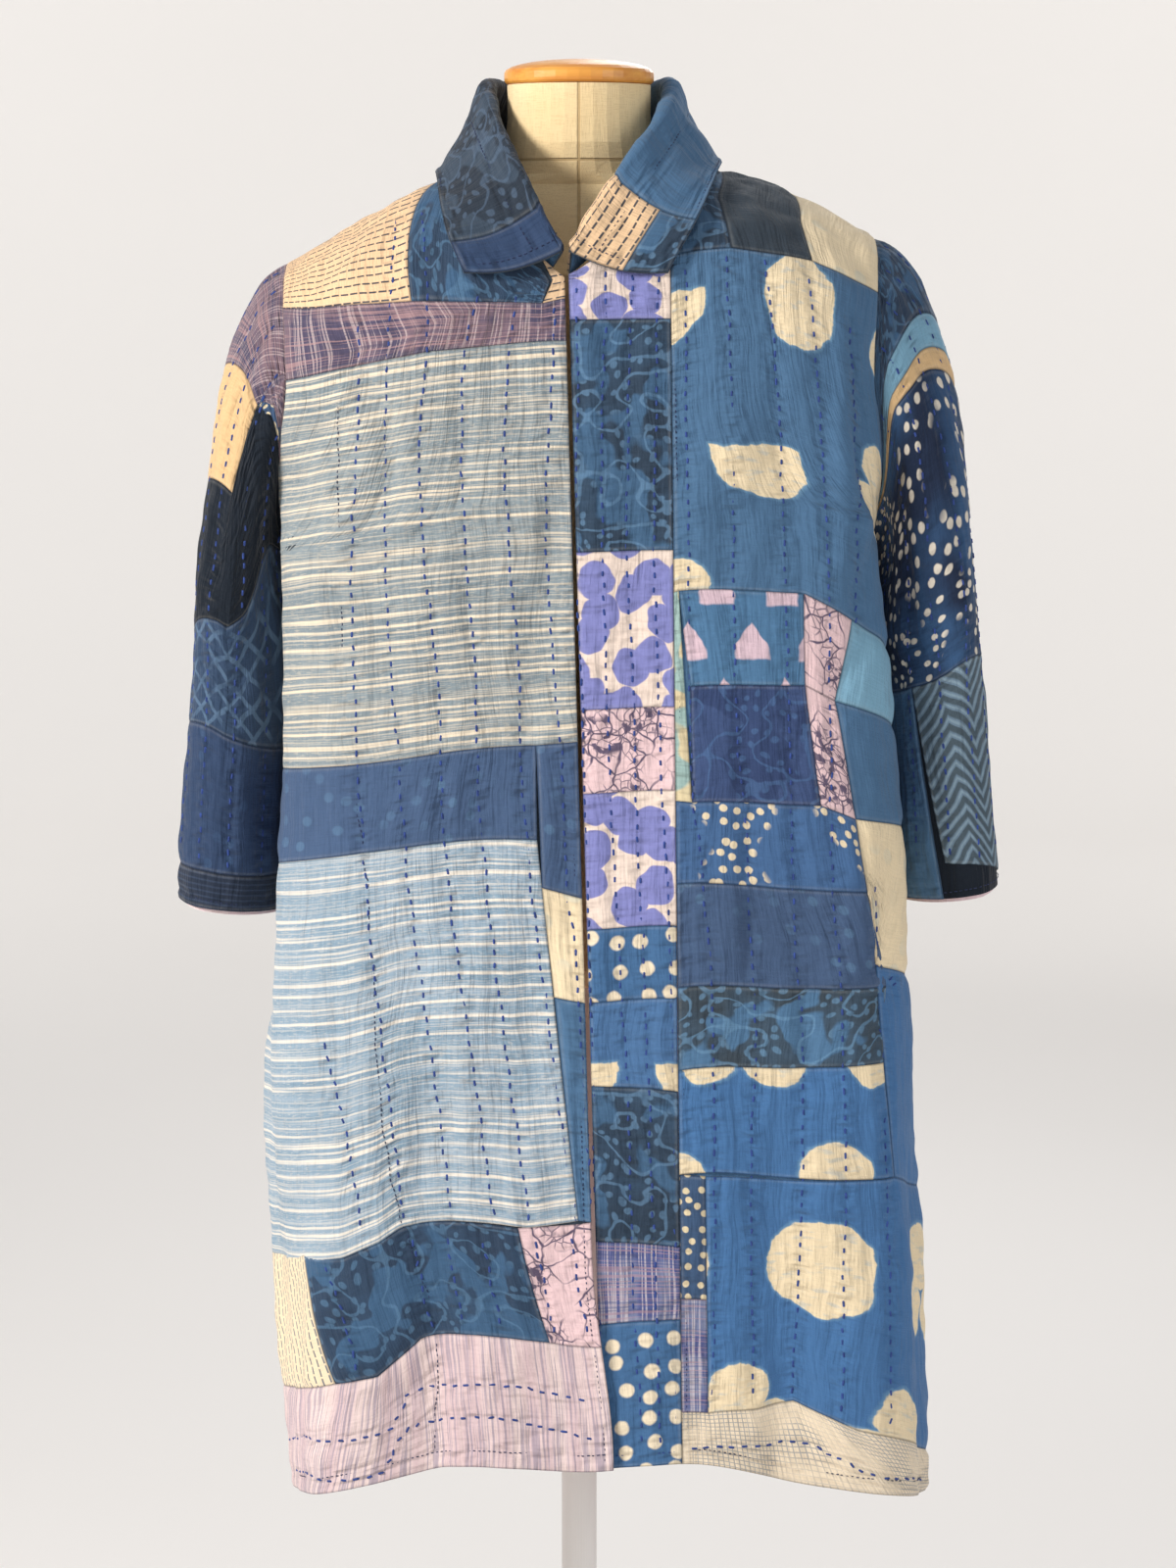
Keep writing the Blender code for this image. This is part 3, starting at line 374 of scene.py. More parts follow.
def body_points(angle, rise, top):
    """Points of the body's surface: rise runs from 0 at the hem to 1 at the height top."""
    low = curve(HEM_ROWS, 1, angle)
    height = low + (top - low) * rise
    reach = radius(angle, height)
    turn = np.radians(angle)
    left = np.clip((rise - ROLL_START) / (1 - ROLL_START), 0, 1)
    deep = reach * np.cos(turn) * np.sqrt(1 - left * left)
    return np.stack([reach * np.sin(turn), -deep, height], -1)


def angle_at(x, height, back=False):
    """The angle at which the body's surface is x from the middle, in front or behind."""
    sweep = np.linspace(0, 80, 161)
    side = sweep if x >= 0 else -sweep
    if back:
        side = np.where(x >= 0, 180 - sweep, sweep - 180)
    across = np.abs(radius(side, height) * np.sin(np.radians(side)))
    found = np.interp(abs(x), across, sweep) * (1 if x >= 0 else -1)
    if back:
        return 180 - found if x >= 0 else -180 - found
    return found


def shoulder_height(x, side):
    tip, drop, bow = SHOULDER[side]
    t = np.clip((np.abs(x) - NECK_X) / (tip - NECK_X), 0, 1)
    return NECK_HEIGHT - drop * t ** bow


def down_opening(height):
    return np.clip((1.36 - height) / 0.92, 0, 1)


def edge_x(height):
    return -0.0095 + 0.0255 * down_opening(height)


def right_edge_x(height):
    """The right front's own edge, which laps over the strip near the hem."""
    return edge_x(height) - 0.0015 + 0.012 * (1 - ease(height, 0.44, 0.60))


def band_x(height):
    return BAND_TOP_X + 0.010 * down_opening(height)


def neck_x(rise, start):
    t = np.clip((rise - NECK_CORNER) / (1 - NECK_CORNER), 0, 1)
    return start + (NECK_X - start) * t ** 0.8


def armhole_angle(rise):
    t = np.clip((rise - UNDERARM) / (1 - UNDERARM), 0, 1)
    return 90 - 23 * (1 - (1 - t) ** 2) ** 0.6 + 4 * ease(t, 0.5, 1.0)


def rise_rows():
    """Rows about 8 mm apart, from the shoulder down to the hem."""
    turn = np.radians(np.linspace(0, 90, 21)[1:])
    upper = ROLL_START + (1 - ROLL_START) * np.sin(turn)
    rows = np.concatenate([np.linspace(0, ROLL_START, 113), upper])
    return rows[::-1]


def spread_columns(count, side, back=False):
    """Shares of the sweep from the middle to the side that are even along the cloth."""
    sweep = np.linspace(0, 90, 181)
    angles = sweep if side == "left" else -sweep
    if back:
        angles = 180 - sweep if side == "left" else sweep - 180
    reach = radius(angles, 0.95)
    x, y = reach * np.sin(np.radians(angles)), reach * np.cos(np.radians(angles))
    run = np.concatenate([[0], np.cumsum(np.hypot(np.diff(x), np.diff(y)))])
    return np.interp(np.linspace(0, run[-1], count + 1), run, sweep / 90)


def front_points(side, count, inner_x, corner_rise, gap):
    """A front's points, a row for each rise, from its inner edge or neckline to the armhole."""
    sign = -1 if side == "right" else 1
    shares = spread_columns(count, side)
    tip = sign * armhole_angle(1.0)
    neck = angle_at(sign * NECK_X, 1.40)
    at_top = neck + (tip - neck) * shares
    top = shoulder_height(body_points(at_top, 1.0, NECK_HEIGHT)[:, 0], side)
    grid = []
    for rise in rise_rows():
        height = MEAN_HEM + (NECK_HEIGHT - MEAN_HEM) * rise
        edge = inner_x(height) + gap
        if rise > corner_rise:
            edge = sign * max(neck_x(rise, CORNER_X[side]), sign * edge)
        start = angle_at(edge, height)
        angle = start + (sign * armhole_angle(rise) - start) * shares
        grid.append(body_points(angle, rise, top))
    return np.array(grid).transpose(1, 0, 2)


def back_points(side, count=40):
    """Half of the back, from the middle or the neckline to the armhole."""
    sign = -1 if side == "right" else 1
    shares = spread_columns(count, side, back=True)
    tip = sign * (180 - armhole_angle(1.0))
    neck = angle_at(sign * NECK_X, 1.40, back=True)
    at_top = neck + (tip - neck) * shares
    top = shoulder_height(body_points(at_top, 1.0, NECK_HEIGHT)[:, 0], side)
    grid = []
    for rise in rise_rows():
        height = MEAN_HEM + (NECK_HEIGHT - MEAN_HEM) * rise
        start = sign * 180.0
        if rise > BACK_NECK:
            t = ((rise - BACK_NECK) / (1 - BACK_NECK)) ** 0.5
            start = angle_at(sign * NECK_X * t, height, back=True)
        angle = start + (sign * (180 - armhole_angle(rise)) - start) * shares
        lift = 0.026 * (1 - ease(180 - np.abs(angle), 14, 36))
        grid.append(body_points(angle, rise, top + lift))
    return np.array(grid).transpose(1, 0, 2)


class Cloth:
    """One cut piece as a fine grid of points: across from left to right, down from the top.

    Shares from 0 to 1 each way name a place on it. Creases move its points in or out.
    """

    def __init__(self, points, creases=()):
        self.points = points
        self.normals = self.facing()
        self.seen = on_picture(self.points)
        for crease in creases:
            self.press(*crease)
        self.normals = self.facing()
        self.seen = on_picture(self.points)

    def facing(self):
        across, down = np.gradient(self.points, axis=0), np.gradient(self.points, axis=1)
        normal = -np.cross(across, down)
        size = np.linalg.norm(normal, axis=-1, keepdims=True)
        return normal / np.maximum(size, 1e-12)

    def press(self, start, end, depth, width):
        """A soft crease between two places, as shares or picture places; a depth below 0 is a trough."""
        if max(start) > 2:
            start, end = self.find(start), self.find(end)
        steps = np.linspace(0, 1, 33)
        bow = 0.012 * np.sin(np.pi * steps)
        across = start[0] + (end[0] - start[0]) * steps + bow
        line = self.at(across, start[1] + (end[1] - start[1]) * steps, self.points)
        gaps = np.linalg.norm(self.points[:, :, None] - line, axis=-1)
        off, t = gaps.min(-1), steps[gaps.argmin(-1)]
        amount = depth * np.exp(-((off / width) ** 2)) * np.sin(np.pi * (0.08 + 0.84 * t)) ** 0.7
        self.points = self.points + self.facing() * amount[..., None]

    def at(self, across, down, grid=None):
        """Points and normals at shares of the piece, or one grid of values there."""
        if grid is None:
            return self.at(across, down, self.points), self.at(across, down, self.normals)
        i = np.clip(np.asarray(across, float), 0, 1) * (grid.shape[0] - 1)
        j = np.clip(np.asarray(down, float), 0, 1) * (grid.shape[1] - 1)
        i0 = np.minimum(i.astype(int), grid.shape[0] - 2)
        j0 = np.minimum(j.astype(int), grid.shape[1] - 2)
        s, t = (i - i0)[..., None], (j - j0)[..., None]
        low = grid[i0, j0] * (1 - s) + grid[i0 + 1, j0] * s
        high = grid[i0, j0 + 1] * (1 - s) + grid[i0 + 1, j0 + 1] * s
        return low * (1 - t) + high * t

    def find(self, place):
        """Shares of a place given as picture x and y, or with an edge's mark for one of them.

        "<" and ">" are the left and right edges, "^" and "_" the top and the hem.
        """
        x, y = place
        across = {"<": 0.0, ">": 1.0}.get(x)
        down = {"^": 0.0, "_": 1.0}.get(y)
        wide, long = self.seen.shape[0] - 1, self.seen.shape[1] - 1
        if across is not None and down is not None:
            return across, down
        if across is not None:
            column = self.seen[round(across * wide), :, 1]
            return across, int(np.argmin(np.abs(column - y))) / long
        if down is not None:
            row = self.seen[:, round(down * long), 0]
            return int(np.argmin(np.abs(row - x))) / wide, down
        hidden = np.where(self.normals[..., 1] < 0.15, 0, 1e6)
        gap = np.hypot(self.seen[..., 0] - x, self.seen[..., 1] - y) + hidden
        near = np.argsort(gap, axis=None)[:6]
        i, j = np.unravel_index(near, gap.shape)
        close = 1 / (gap[i, j] + 0.3) ** 2
        return float((i * close).sum() / close.sum() / wide), float((j * close).sum() / close.sum() / long)


# The cottons: old hand-woven, indigo-dyed and block-printed cloth, washed soft, cut into patches.
# Each pattern is drawn on the patch's own measure in metres, then given slubs, fading, puckers and painted shade
# along its edges.
def cotton(name, pattern):
    finish = Finish(name, {
        "Roughness": 0.86, "Sheen Weight": 0.12, "Sheen Roughness": 0.5, "Specular IOR Level": 0.25,
    })
    place = finish.add("TexCoord", out=2)
    colour = pattern(finish, finish.warped(place, 24.0, 0.0028))
    weft = finish.noise(place, (70.0, 700.0, 1.0), 2, 0.6)
    warp = finish.noise(place, (700.0, 60.0, 1.0), 2, 0.6)
    clouds = finish.noise(place, (9.0, 7.0, 1.0), 4, 0.6)
    tone = 1 + (weft + warp - 1) * 0.22 + (clouds - 0.5) * 0.30
    colour = finish.add("VectorMath", {"operation": "SCALE"}, {0: colour, "Scale": tone})
    edge = finish.add("Attribute", {"attribute_name": "edge"}, out=2)
    row = finish.add("Attribute", {"attribute_name": "row"}, out=2)
    worn = edge.under(0.0026, 0.002) * edge.over(0.0012, 0.001) * finish.noise(place, (160.0, 160.0, 1.0), 2) * 0.16
    colour = finish.blend(worn, colour, dye("#c9c6be"))
    # Painted shade: a dark line blended along each patch's edges, standing in for the shaded groove of the seam.
    colour = finish.blend(edge.under(0.0008, 0.0012) * 0.55, colour, dye("#141b28"))
    finish.join(colour, finish.shader.inputs["Base Color"])
    near = row.under(0.007, 0.012)
    pucker = (finish.noise(place, (45.0, 120.0, 1.0), 1) - 0.5) * near
    upright = finish.noise(finish.warped(place, 12.0, 0.02), (85.0, 6.0, 1.0), 3, 0.6) * 0.5
    ripple = finish.noise(place, (26.0, 20.0, 1.0), 3)
    finish.relief(pucker * 9.0 + upright * 9.0 + ripple * 5.0 + (weft + warp) * 0.5)
    return finish.material


def plain(code, mark=None, size=26.0, share=0.22):
    """One dyed colour, with faint paler blots where the resist soaked in."""
    def draw(finish, place):
        if mark is None:
            return dye(code)
        spots = finish.cells(place, size, random=0.85).under(share, 0.06)
        patchy = finish.noise(place, (14.0, 14.0, 1.0), 1).over(0.5, 0.12)
        return finish.blend(spots * (patchy * 0.40 + 0.05), dye(code), dye(mark))
    return draw


def slub_stripes(ground, deep, cream):
    """Blue-grey cloth with uneven cream weft lines, each fading in and out along its length."""
    def draw(finish, place):
        tint = finish.noise(place, (5.0, 200.0, 1.0), 3)
        cloud = finish.noise(place, (14.0, 10.0, 1.0), 3)
        wash = finish.blend((tint + cloud).over(1.0, 0.4), dye(ground), dye(deep))
        u, v = finish.split(place)
        found = None
        for gap, thick, strength, reach in (
            (0.0113, 0.10, 1.0, 7.0), (0.0071, 0.13, 0.85, 9.0), (0.0034, 0.15, 0.40, 12.0),
        ):
            line = (v / gap).math("FLOOR")
            chance = finish.add("TexWhiteNoise", {"noise_dimensions": "1D"}, {"W": line + reach})
            off = ((v / gap).part() - 0.5 - (chance - 0.5) * 0.6).math("ABSOLUTE")
            spot = finish.add("CombineXYZ", {}, {0: u * reach, 1: line * 3.37, 2: 0.0})
            run = finish.add("TexNoise", {}, {"Vector": spot, "Scale": 1.0, "Detail": 2.0})
            full = (run * 0.8 + chance * 0.25).over(0.52, 0.22)
            mask = off.under((0.25 + 0.75 * full) * thick, 0.07) * (0.30 + 0.70 * full) * strength
            found = mask if found is None else found.most(mask)
        slubs = finish.noise(place, (160.0, 900.0, 1.0), 1).over(0.60, 0.12) * 0.28
        return finish.blend(found.most(slubs), wash, dye(cream))
    return draw


def dashed_lines(cream, ink, gap, upright=False):
    """Cream cotton crossed by thin dark dashed lines."""
    def draw(finish, place):
        u, v = finish.split(finish.warped(place, 20.0, 0.004))
        if upright:
            u, v = v, u
        line = ((v / gap).part() - 0.5).math("ABSOLUTE").under(0.10, 0.06)
        which = finish.add("TexWhiteNoise", {"noise_dimensions": "1D"}, {"W": (v / gap).math("FLOOR")})
        dash = (u / 0.0075 + which * 9).part().under(0.80, 0.12)
        return finish.blend(line * dash, dye(cream), dye(ink))
    return draw


def plaid(ground, light, dark, warm):
    """Thin checks of mixed yarns, darker and lighter in bands both ways."""
    def draw(finish, place):
        down = finish.noise(place, (620.0, 9.0, 1.0), 1)
        over = finish.noise(place, (9.0, 620.0, 1.0), 1)
        bands = finish.noise(place, (60.0, 3.0, 1.0), 1) + finish.noise(place, (3.0, 60.0, 1.0), 1)
        tone = finish.blend(bands.over(1.02, 0.16), dye(ground), dye(dark))
        tone = finish.blend(down.over(0.56, 0.08) * 0.7, tone, dye(light))
        tone = finish.blend(over.over(0.57, 0.08) * 0.6, tone, dye(warm))
        return finish.blend(over.under(0.42, 0.06) * 0.5, tone, dye(dark))
    return draw


def vines(ground, dark, bright):
    """A worn block print: dark blots and leaves with paler seeds and curling stems."""
    def draw(finish, place):
        bent = finish.warped(finish.warped(place, 26.0, 0.020), 90.0, 0.004)
        blots = finish.noise(bent, (27.0, 23.0, 1.0), 1.5, 0.7).over(0.47, 0.03)
        stems = (finish.noise(bent, (34.0, 40.0, 1.0), 0) - 0.5).math("ABSOLUTE").under(0.022, 0.014)
        seeds = finish.cells(bent, 85.0, random=0.8).under(0.22, 0.08)
        worn = finish.noise(place, (20.0, 20.0, 1.0), 3).over(0.42, 0.3)
        tone = finish.blend(blots * (0.55 + worn * 0.4), dye(ground), dye(dark))
        return finish.blend(stems.most(seeds * blots) * 0.55, tone, dye(bright))
    return draw


def blooms(petal, deep, cream):
    """Close round petals in one colour, with the cream cloth left in the gaps between."""
    def draw(finish, place):
        bent = finish.warped(place, 55.0, 0.010)
        far = finish.cells(bent, 34.0, random=0.92)
        gaps = far.over(0.49, 0.03)
        rim = far.over(0.46, 0.05) * 0.4
        tone = finish.blend(rim, dye(petal), dye(deep))
        return finish.blend(gaps, tone, dye(cream))
    return draw


def crackle(ground, ink):
    """Pale cloth with dark broken dye lines, thick where the wax cracked most."""
    def draw(finish, place):
        bent = finish.warped(place, 70.0, 0.010)
        heavy = finish.noise(place, (26.0, 22.0, 1.0), 1)
        wide = finish.cells(bent, 52.0, "DISTANCE_TO_EDGE").under(0.035, 0.03) * heavy.over(0.40, 0.12)
        fine = finish.cells(bent, 140.0, "DISTANCE_TO_EDGE").under(0.07, 0.05) * heavy.over(0.50, 0.06)
        clots = finish.noise(bent, (130.0, 110.0, 1.0), 2).over(0.55, 0.05) * heavy.over(0.55, 0.05)
        return finish.blend(wide.most(fine * 0.8).most(clots) * 0.88, dye(ground), dye(ink))
    return draw


def dots(ground, cream, gap, size, random, patchy=0.0, deep=None):
    """Round resist dots, in rows or scattered."""
    def draw(finish, place):
        spots = finish.cells(finish.warped(place, 150.0, 0.0016), 1 / gap, random=random).under(size / gap, 0.07)
        if patchy:
            spots = spots * finish.noise(place, (22.0, 20.0, 1.0), 0).over(patchy, 0.06)
        wash = dye(ground)
        if deep:
            wash = finish.blend(finish.noise(place, (17.0, 11.0, 1.0), 2).over(0.5, 0.2), dye(ground), dye(deep))
        return finish.blend(spots, wash, dye(cream))
    return draw


def discs(ground, cream, gap, size, shift=(0.0, 0.0, 0.0), rim="#7fa9c4"):
    """Large cream rounds, halves and threes in half-drop rows, with watery blue rims."""
    def draw(finish, place):
        torn = finish.warped(finish.warped(finish.moved(place, shift), 40.0, 0.010), 190.0, 0.0032)
        u, v = finish.split(torn)
        line = (v / gap).math("FLOOR")
        u = u + line * gap * 0.5
        cell = (u / gap).math("FLOOR")
        x = ((u / gap).part() - 0.5) * gap
        y = ((v / gap).part() - 0.5) * gap
        kind = finish.add("TexWhiteNoise", {"noise_dimensions": "1D"}, {"W": cell * 7.3 + line * 3.1})

        def round_at(cx, cy, r):
            dx, dy = x - cx, y - cy
            return (dx * dx + dy * dy).math("SQRT") - r

        single = round_at(0.0, 0.0, size)
        half = single.most(y - 0.15 * size)
        three = round_at(0.0, 0.55 * size, 0.62 * size)
        for sign in (-1, 1):
            three = three.math("MINIMUM", round_at(0.66 * sign * size, -0.38 * size, 0.64 * size))
        pick_half, pick_three = kind.under(0.28, 0.001), kind.over(0.50, 0.001)
        far = single + (half - single) * pick_half + (three - single) * pick_three
        stain = finish.noise(place, (70.0, 190.0, 1.0), 3).over(0.60, 0.12) * 0.30
        soaked = finish.blend(stain, dye(cream), dye(rim))
        tone = finish.blend(far.under(0.0016, 0.0024) * 0.5, dye(ground), dye(rim))
        return finish.blend(far.under(0.0, 0.0010), tone, soaked)
    return draw


def triangles(ground, pink):
    """A row print of small triangles, each second one turned over."""
    def draw(finish, place):
        u, v = finish.split(finish.warped(place, 90.0, 0.004))
        u = u + 0.5 * 0.048 * (v / 0.042).math("FLOOR")
        x = ((u / 0.048).part() - 0.5).math("ABSOLUTE")
        y = (v / 0.042).part() - 0.5
        inside = (x * 1.7 + y).under(0.36, 0.05) * y.over(-0.32, 0.04) * x.under(0.26, 0.04)
        return finish.blend(inside * 0.92, dye(ground), dye(pink))
    return draw


def chevrons(ground, pale, deep):
    def draw(finish, place):
        u, v = finish.split(finish.warped(place, 30.0, 0.008))
        fold = ((u / 0.055).part() - 0.5).math("ABSOLUTE") * 0.055
        wave = ((v + fold) / 0.012).part()
        tone = finish.blend(wave.over(0.5, 0.12), dye(ground), dye(deep))
        return finish.blend((wave - 0.25).math("ABSOLUTE").under(0.10, 0.08) * 0.7, tone, dye(pale))
    return draw


def lattice(ground, pale):
    def draw(finish, place):
        u, v = finish.split(finish.warped(place, 45.0, 0.008))
        one = ((u + v) / 0.024).part() - 0.5
        two = ((u - v) / 0.024).part() - 0.5
        lines = one.math("ABSOLUTE").under(0.11, 0.05).most(two.math("ABSOLUTE").under(0.11, 0.05))
        eye = (one * one + two * two).math("SQRT").under(0.10, 0.05)
        broken = finish.noise(place, (40.0, 40.0, 1.0), 2).over(0.46, 0.15)
        return finish.blend(lines.most(eye) * broken * 0.75, dye(ground), dye(pale))
    return draw


def ribs(ground, pale):
    def draw(finish, place):
        u, v = finish.split(place)
        line = ((v / 0.0042).part() - 0.5).math("ABSOLUTE").under(0.16, 0.12)
        return finish.blend(line * 0.55, dye(ground), dye(pale))
    return draw


def striae(light, dark, warm):
    """Linen with fine upright lines of uneven yarn."""
    def draw(finish, place):
        fine = finish.noise(place, (560.0, 9.0, 1.0), 2)
        broad = finish.noise(place, (90.0, 2.0, 1.0), 2)
        tone = finish.blend(broad.over(0.5, 0.25), dye(light), dye(warm))
        return finish.blend(fine.over(0.53, 0.08) * 0.75, tone, dye(dark))
    return draw


def small_checks(cream, ink, gap=0.0034):
    def draw(finish, place):
        u, v = finish.split(place)
        across = ((u / gap).part() - 0.5).math("ABSOLUTE").under(0.10, 0.08)
        down = ((v / gap).part() - 0.5).math("ABSOLUTE").under(0.10, 0.08)
        zones = finish.noise(place, (26.0, 26.0, 1.0), 0).over(0.47, 0.10)
        return finish.blend(across.most(down) * (0.20 + 0.55 * zones), dye(cream), dye(ink))
    return draw


def pools(ground, pale):
    def draw(finish, place):
        blots = finish.noise(place, (42.0, 36.0, 1.0), 1).over(0.53, 0.05)
        return finish.blend(blots * 0.9, dye(ground), dye(pale))
    return draw


CREAM = "#ecd8b4"
COTTONS = {
    "stripe": cotton("stripe_cotton", slub_stripes("#8e999e", "#7a8890", "#e8d8c0")),
    "stripe_blue": cotton("stripe_blue_cotton", slub_stripes("#97aaba", "#8099ac", "#e8dfd2")),
    "dash": cotton("dashed_cream_cotton", dashed_lines("#ecc79e", "#4a4a50", 0.0065)),
    "dash_up": cotton("dashed_upright_cotton", dashed_lines("#ecd8b8", "#6a6f78", 0.0058, True)),
    "mauve": cotton("mauve_plaid_cotton", plaid("#77636f", "#c0aeae", "#4e4860", "#b08c8c")),
    "mauve_blue": cotton("blue_plaid_cotton", plaid("#7880a0", "#d0c6ca", "#4f588a", "#a98a98")),
    "vine": cotton("vine_print_cotton", vines("#40607f", "#2b3a4b", "#6386a6")),
    "vine_dark": cotton("dark_vine_cotton", vines("#3c5c7c", "#2b3c52", "#547796")),
    "vine_deep": cotton("deep_vine_cotton", vines("#3a4858", "#262f3b", "#52657c")),
    "vine_grey": cotton("charcoal_vine_cotton", vines("#4f7496", "#39434b", "#6b93b4")),
    "night": cotton("night_cotton", plain("#101a26")),
    "charcoal": cotton("charcoal_cotton", plain("#333e49")),
    "indigo": cotton("indigo_cotton", plain("#43597a", "#5d7f9f", 46.0, 0.18)),
    "indigo_dark": cotton("dark_indigo_cotton", plain("#2e4160", "#3d587c", 46.0, 0.18)),
    "indigo_deep": cotton("deep_indigo_cotton", vines("#3c4f78", "#314269", "#4c6c98")),
    "blue": cotton("blue_cotton", plain("#4b6e90")),
    "blue_low": cotton("bright_blue_cotton", plain("#4570a0")),
    "light_blue": cotton("light_blue_cotton", plain("#7ba6be")),
    "bloom": cotton("petal_print_cotton", blooms("#8285bf", "#9390c2", "#ecd8ca")),
    "crackle": cotton("crackle_cotton", crackle("#e6c6c8", "#332f55")),
    "aqua": cotton("aqua_cotton", pools("#a6c4be", "#ecd6a8")),
    "triangle": cotton("triangle_cotton", triangles("#4c7498", "#dcbfc8")),
    "small_dots": cotton("small_dot_cotton", dots("#436590", "#e6d4b4", 0.0105, 0.0029, 0.75, 0.50)),
    "polka": cotton("polka_cotton", dots("#436a94", "#ecdcc0", 0.021, 0.0056, 0.45)),
    "dense_dots": cotton("dense_dot_cotton", dots("#34547a", "#ded4c4", 0.0120, 0.0029, 0.9, 0.42, "#1d2b45")),
    "navy_dots": cotton("navy_dot_cotton", dots("#3c5474", "#dccba8", 0.010, 0.0026, 0.6)),
    "disc": cotton("disc_cotton", discs("#4b6e90", CREAM, 0.135, 0.039, (0.010, 0.045, 0.0))),
    "disc_low": cotton("low_disc_cotton", discs("#4570a0", CREAM, 0.130, 0.040, (0.030, 0.020, 0.0))),
    "disc_small": cotton("small_disc_cotton", discs("#4a709c", CREAM, 0.085, 0.028, (0.0, 0.010, 0.0))),
    "cream": cotton("cream_cotton", plain(CREAM, "#c4c9bc", 30.0, 0.20)),
    "tan": cotton("tan_cotton", plain("#dcb888")),
    "chevron": cotton("chevron_cotton", chevrons("#6c8294", "#8ba1af", "#4b5a64")),
    "lattice": cotton("lattice_cotton", lattice("#314560", "#5a7490")),
    "ribs": cotton("ribbed_cotton", ribs("#232d3f", "#3a4860")),
    "linen": cotton("linen_cotton", striae("#e6d0cc", "#a093a2", "#d6bcbe")),
    "checks": cotton("checked_cotton", small_checks("#ecdabf", "#838a94")),
    "lining": cotton("lining_cotton", plain("#e9ced2", "#f3e2de", 30.0, 0.3)),
}


# How every piece is sewn: a base cloth with a pale lining, patches laid on it side by side,
# and running stitches of thick thread through both, whose pull puckers the cloth about them.
def cloth_object(name, points, faces, materials, indices=None, layers=None, corners=None):
    mesh = bpy.data.meshes.new(name)
    mesh.from_pydata(points.tolist(), [], faces.tolist())
    for material in materials:
        mesh.materials.append(material)
    if indices is not None:
        mesh.polygons.foreach_set("material_index", np.asarray(indices, np.int32))
    for layer, values in (layers or {}).items():
        mesh.attributes.new(layer, "FLOAT", "POINT").data.foreach_set("value", np.asarray(values, np.float32))
    if corners is not None:
        vertices = np.zeros(len(mesh.loops), np.int32)
        mesh.loops.foreach_get("vertex_index", vertices)
        spread = mesh.uv_layers.new(name="cloth")
        spread.data.foreach_set("uv", corners[vertices].astype(np.float32).ravel())
    mesh.shade_smooth()
    mesh.set_sharp_from_angle(angle=math.radians(48))
    piece = bpy.data.objects.new(name, mesh)
    bpy.context.collection.objects.link(piece)
    return piece


def slab_faces(wide, long, start):
    """Faces of a closed wall on two grids of points, outer first, and how many are outer."""
    index = np.arange(wide * long).reshape(wide, long)
    outer = np.stack([index[:-1, :-1], index[1:, :-1], index[1:, 1:], index[:-1, 1:]], -1).reshape(-1, 4)
    ring = np.concatenate([index[:, 0], index[-1, 1:], index[-2::-1, -1], index[0, -2:0:-1]])
    after = np.roll(ring, -1)
    count = wide * long
    rim = np.stack([after, ring, ring + count, after + count], -1)
    faces = np.concatenate([outer, outer[:, ::-1] + count, rim])[:, ::-1]
    return faces + start, len(outer)


def grid_run(points):
    """How far each point of a grid is along it in metres, across and down, at the mean size."""
    across = np.linalg.norm(np.diff(points, axis=0), axis=-1).mean(1)
    down = np.linalg.norm(np.diff(points, axis=1), axis=-1).mean(0)
    return np.concatenate([[0], np.cumsum(across)]), np.concatenate([[0], np.cumsum(down)])


def crumple(points):
    """Soft uneven hollows and ridges in metres, mostly upright, as washed cotton hangs."""
    chance = np.random.default_rng(5)
    height = np.zeros(points.shape[:-1])
    waves = ((0.021, 9, 0.00042, 0.30), (0.036, 9, 0.00062, 0.35), (0.080, 7, 0.00100, 0.5))
    for wide, count, size, upright in waves:
        for _ in range(count):
            way = chance.normal(size=3) * (1, 1, upright)
            wave = way / np.linalg.norm(way) * 2 * np.pi / (wide * chance.uniform(0.8, 1.3))
            height += size * math.sqrt(2 / count) * np.sin(points @ wave + chance.uniform(0, 6.3))
    return height


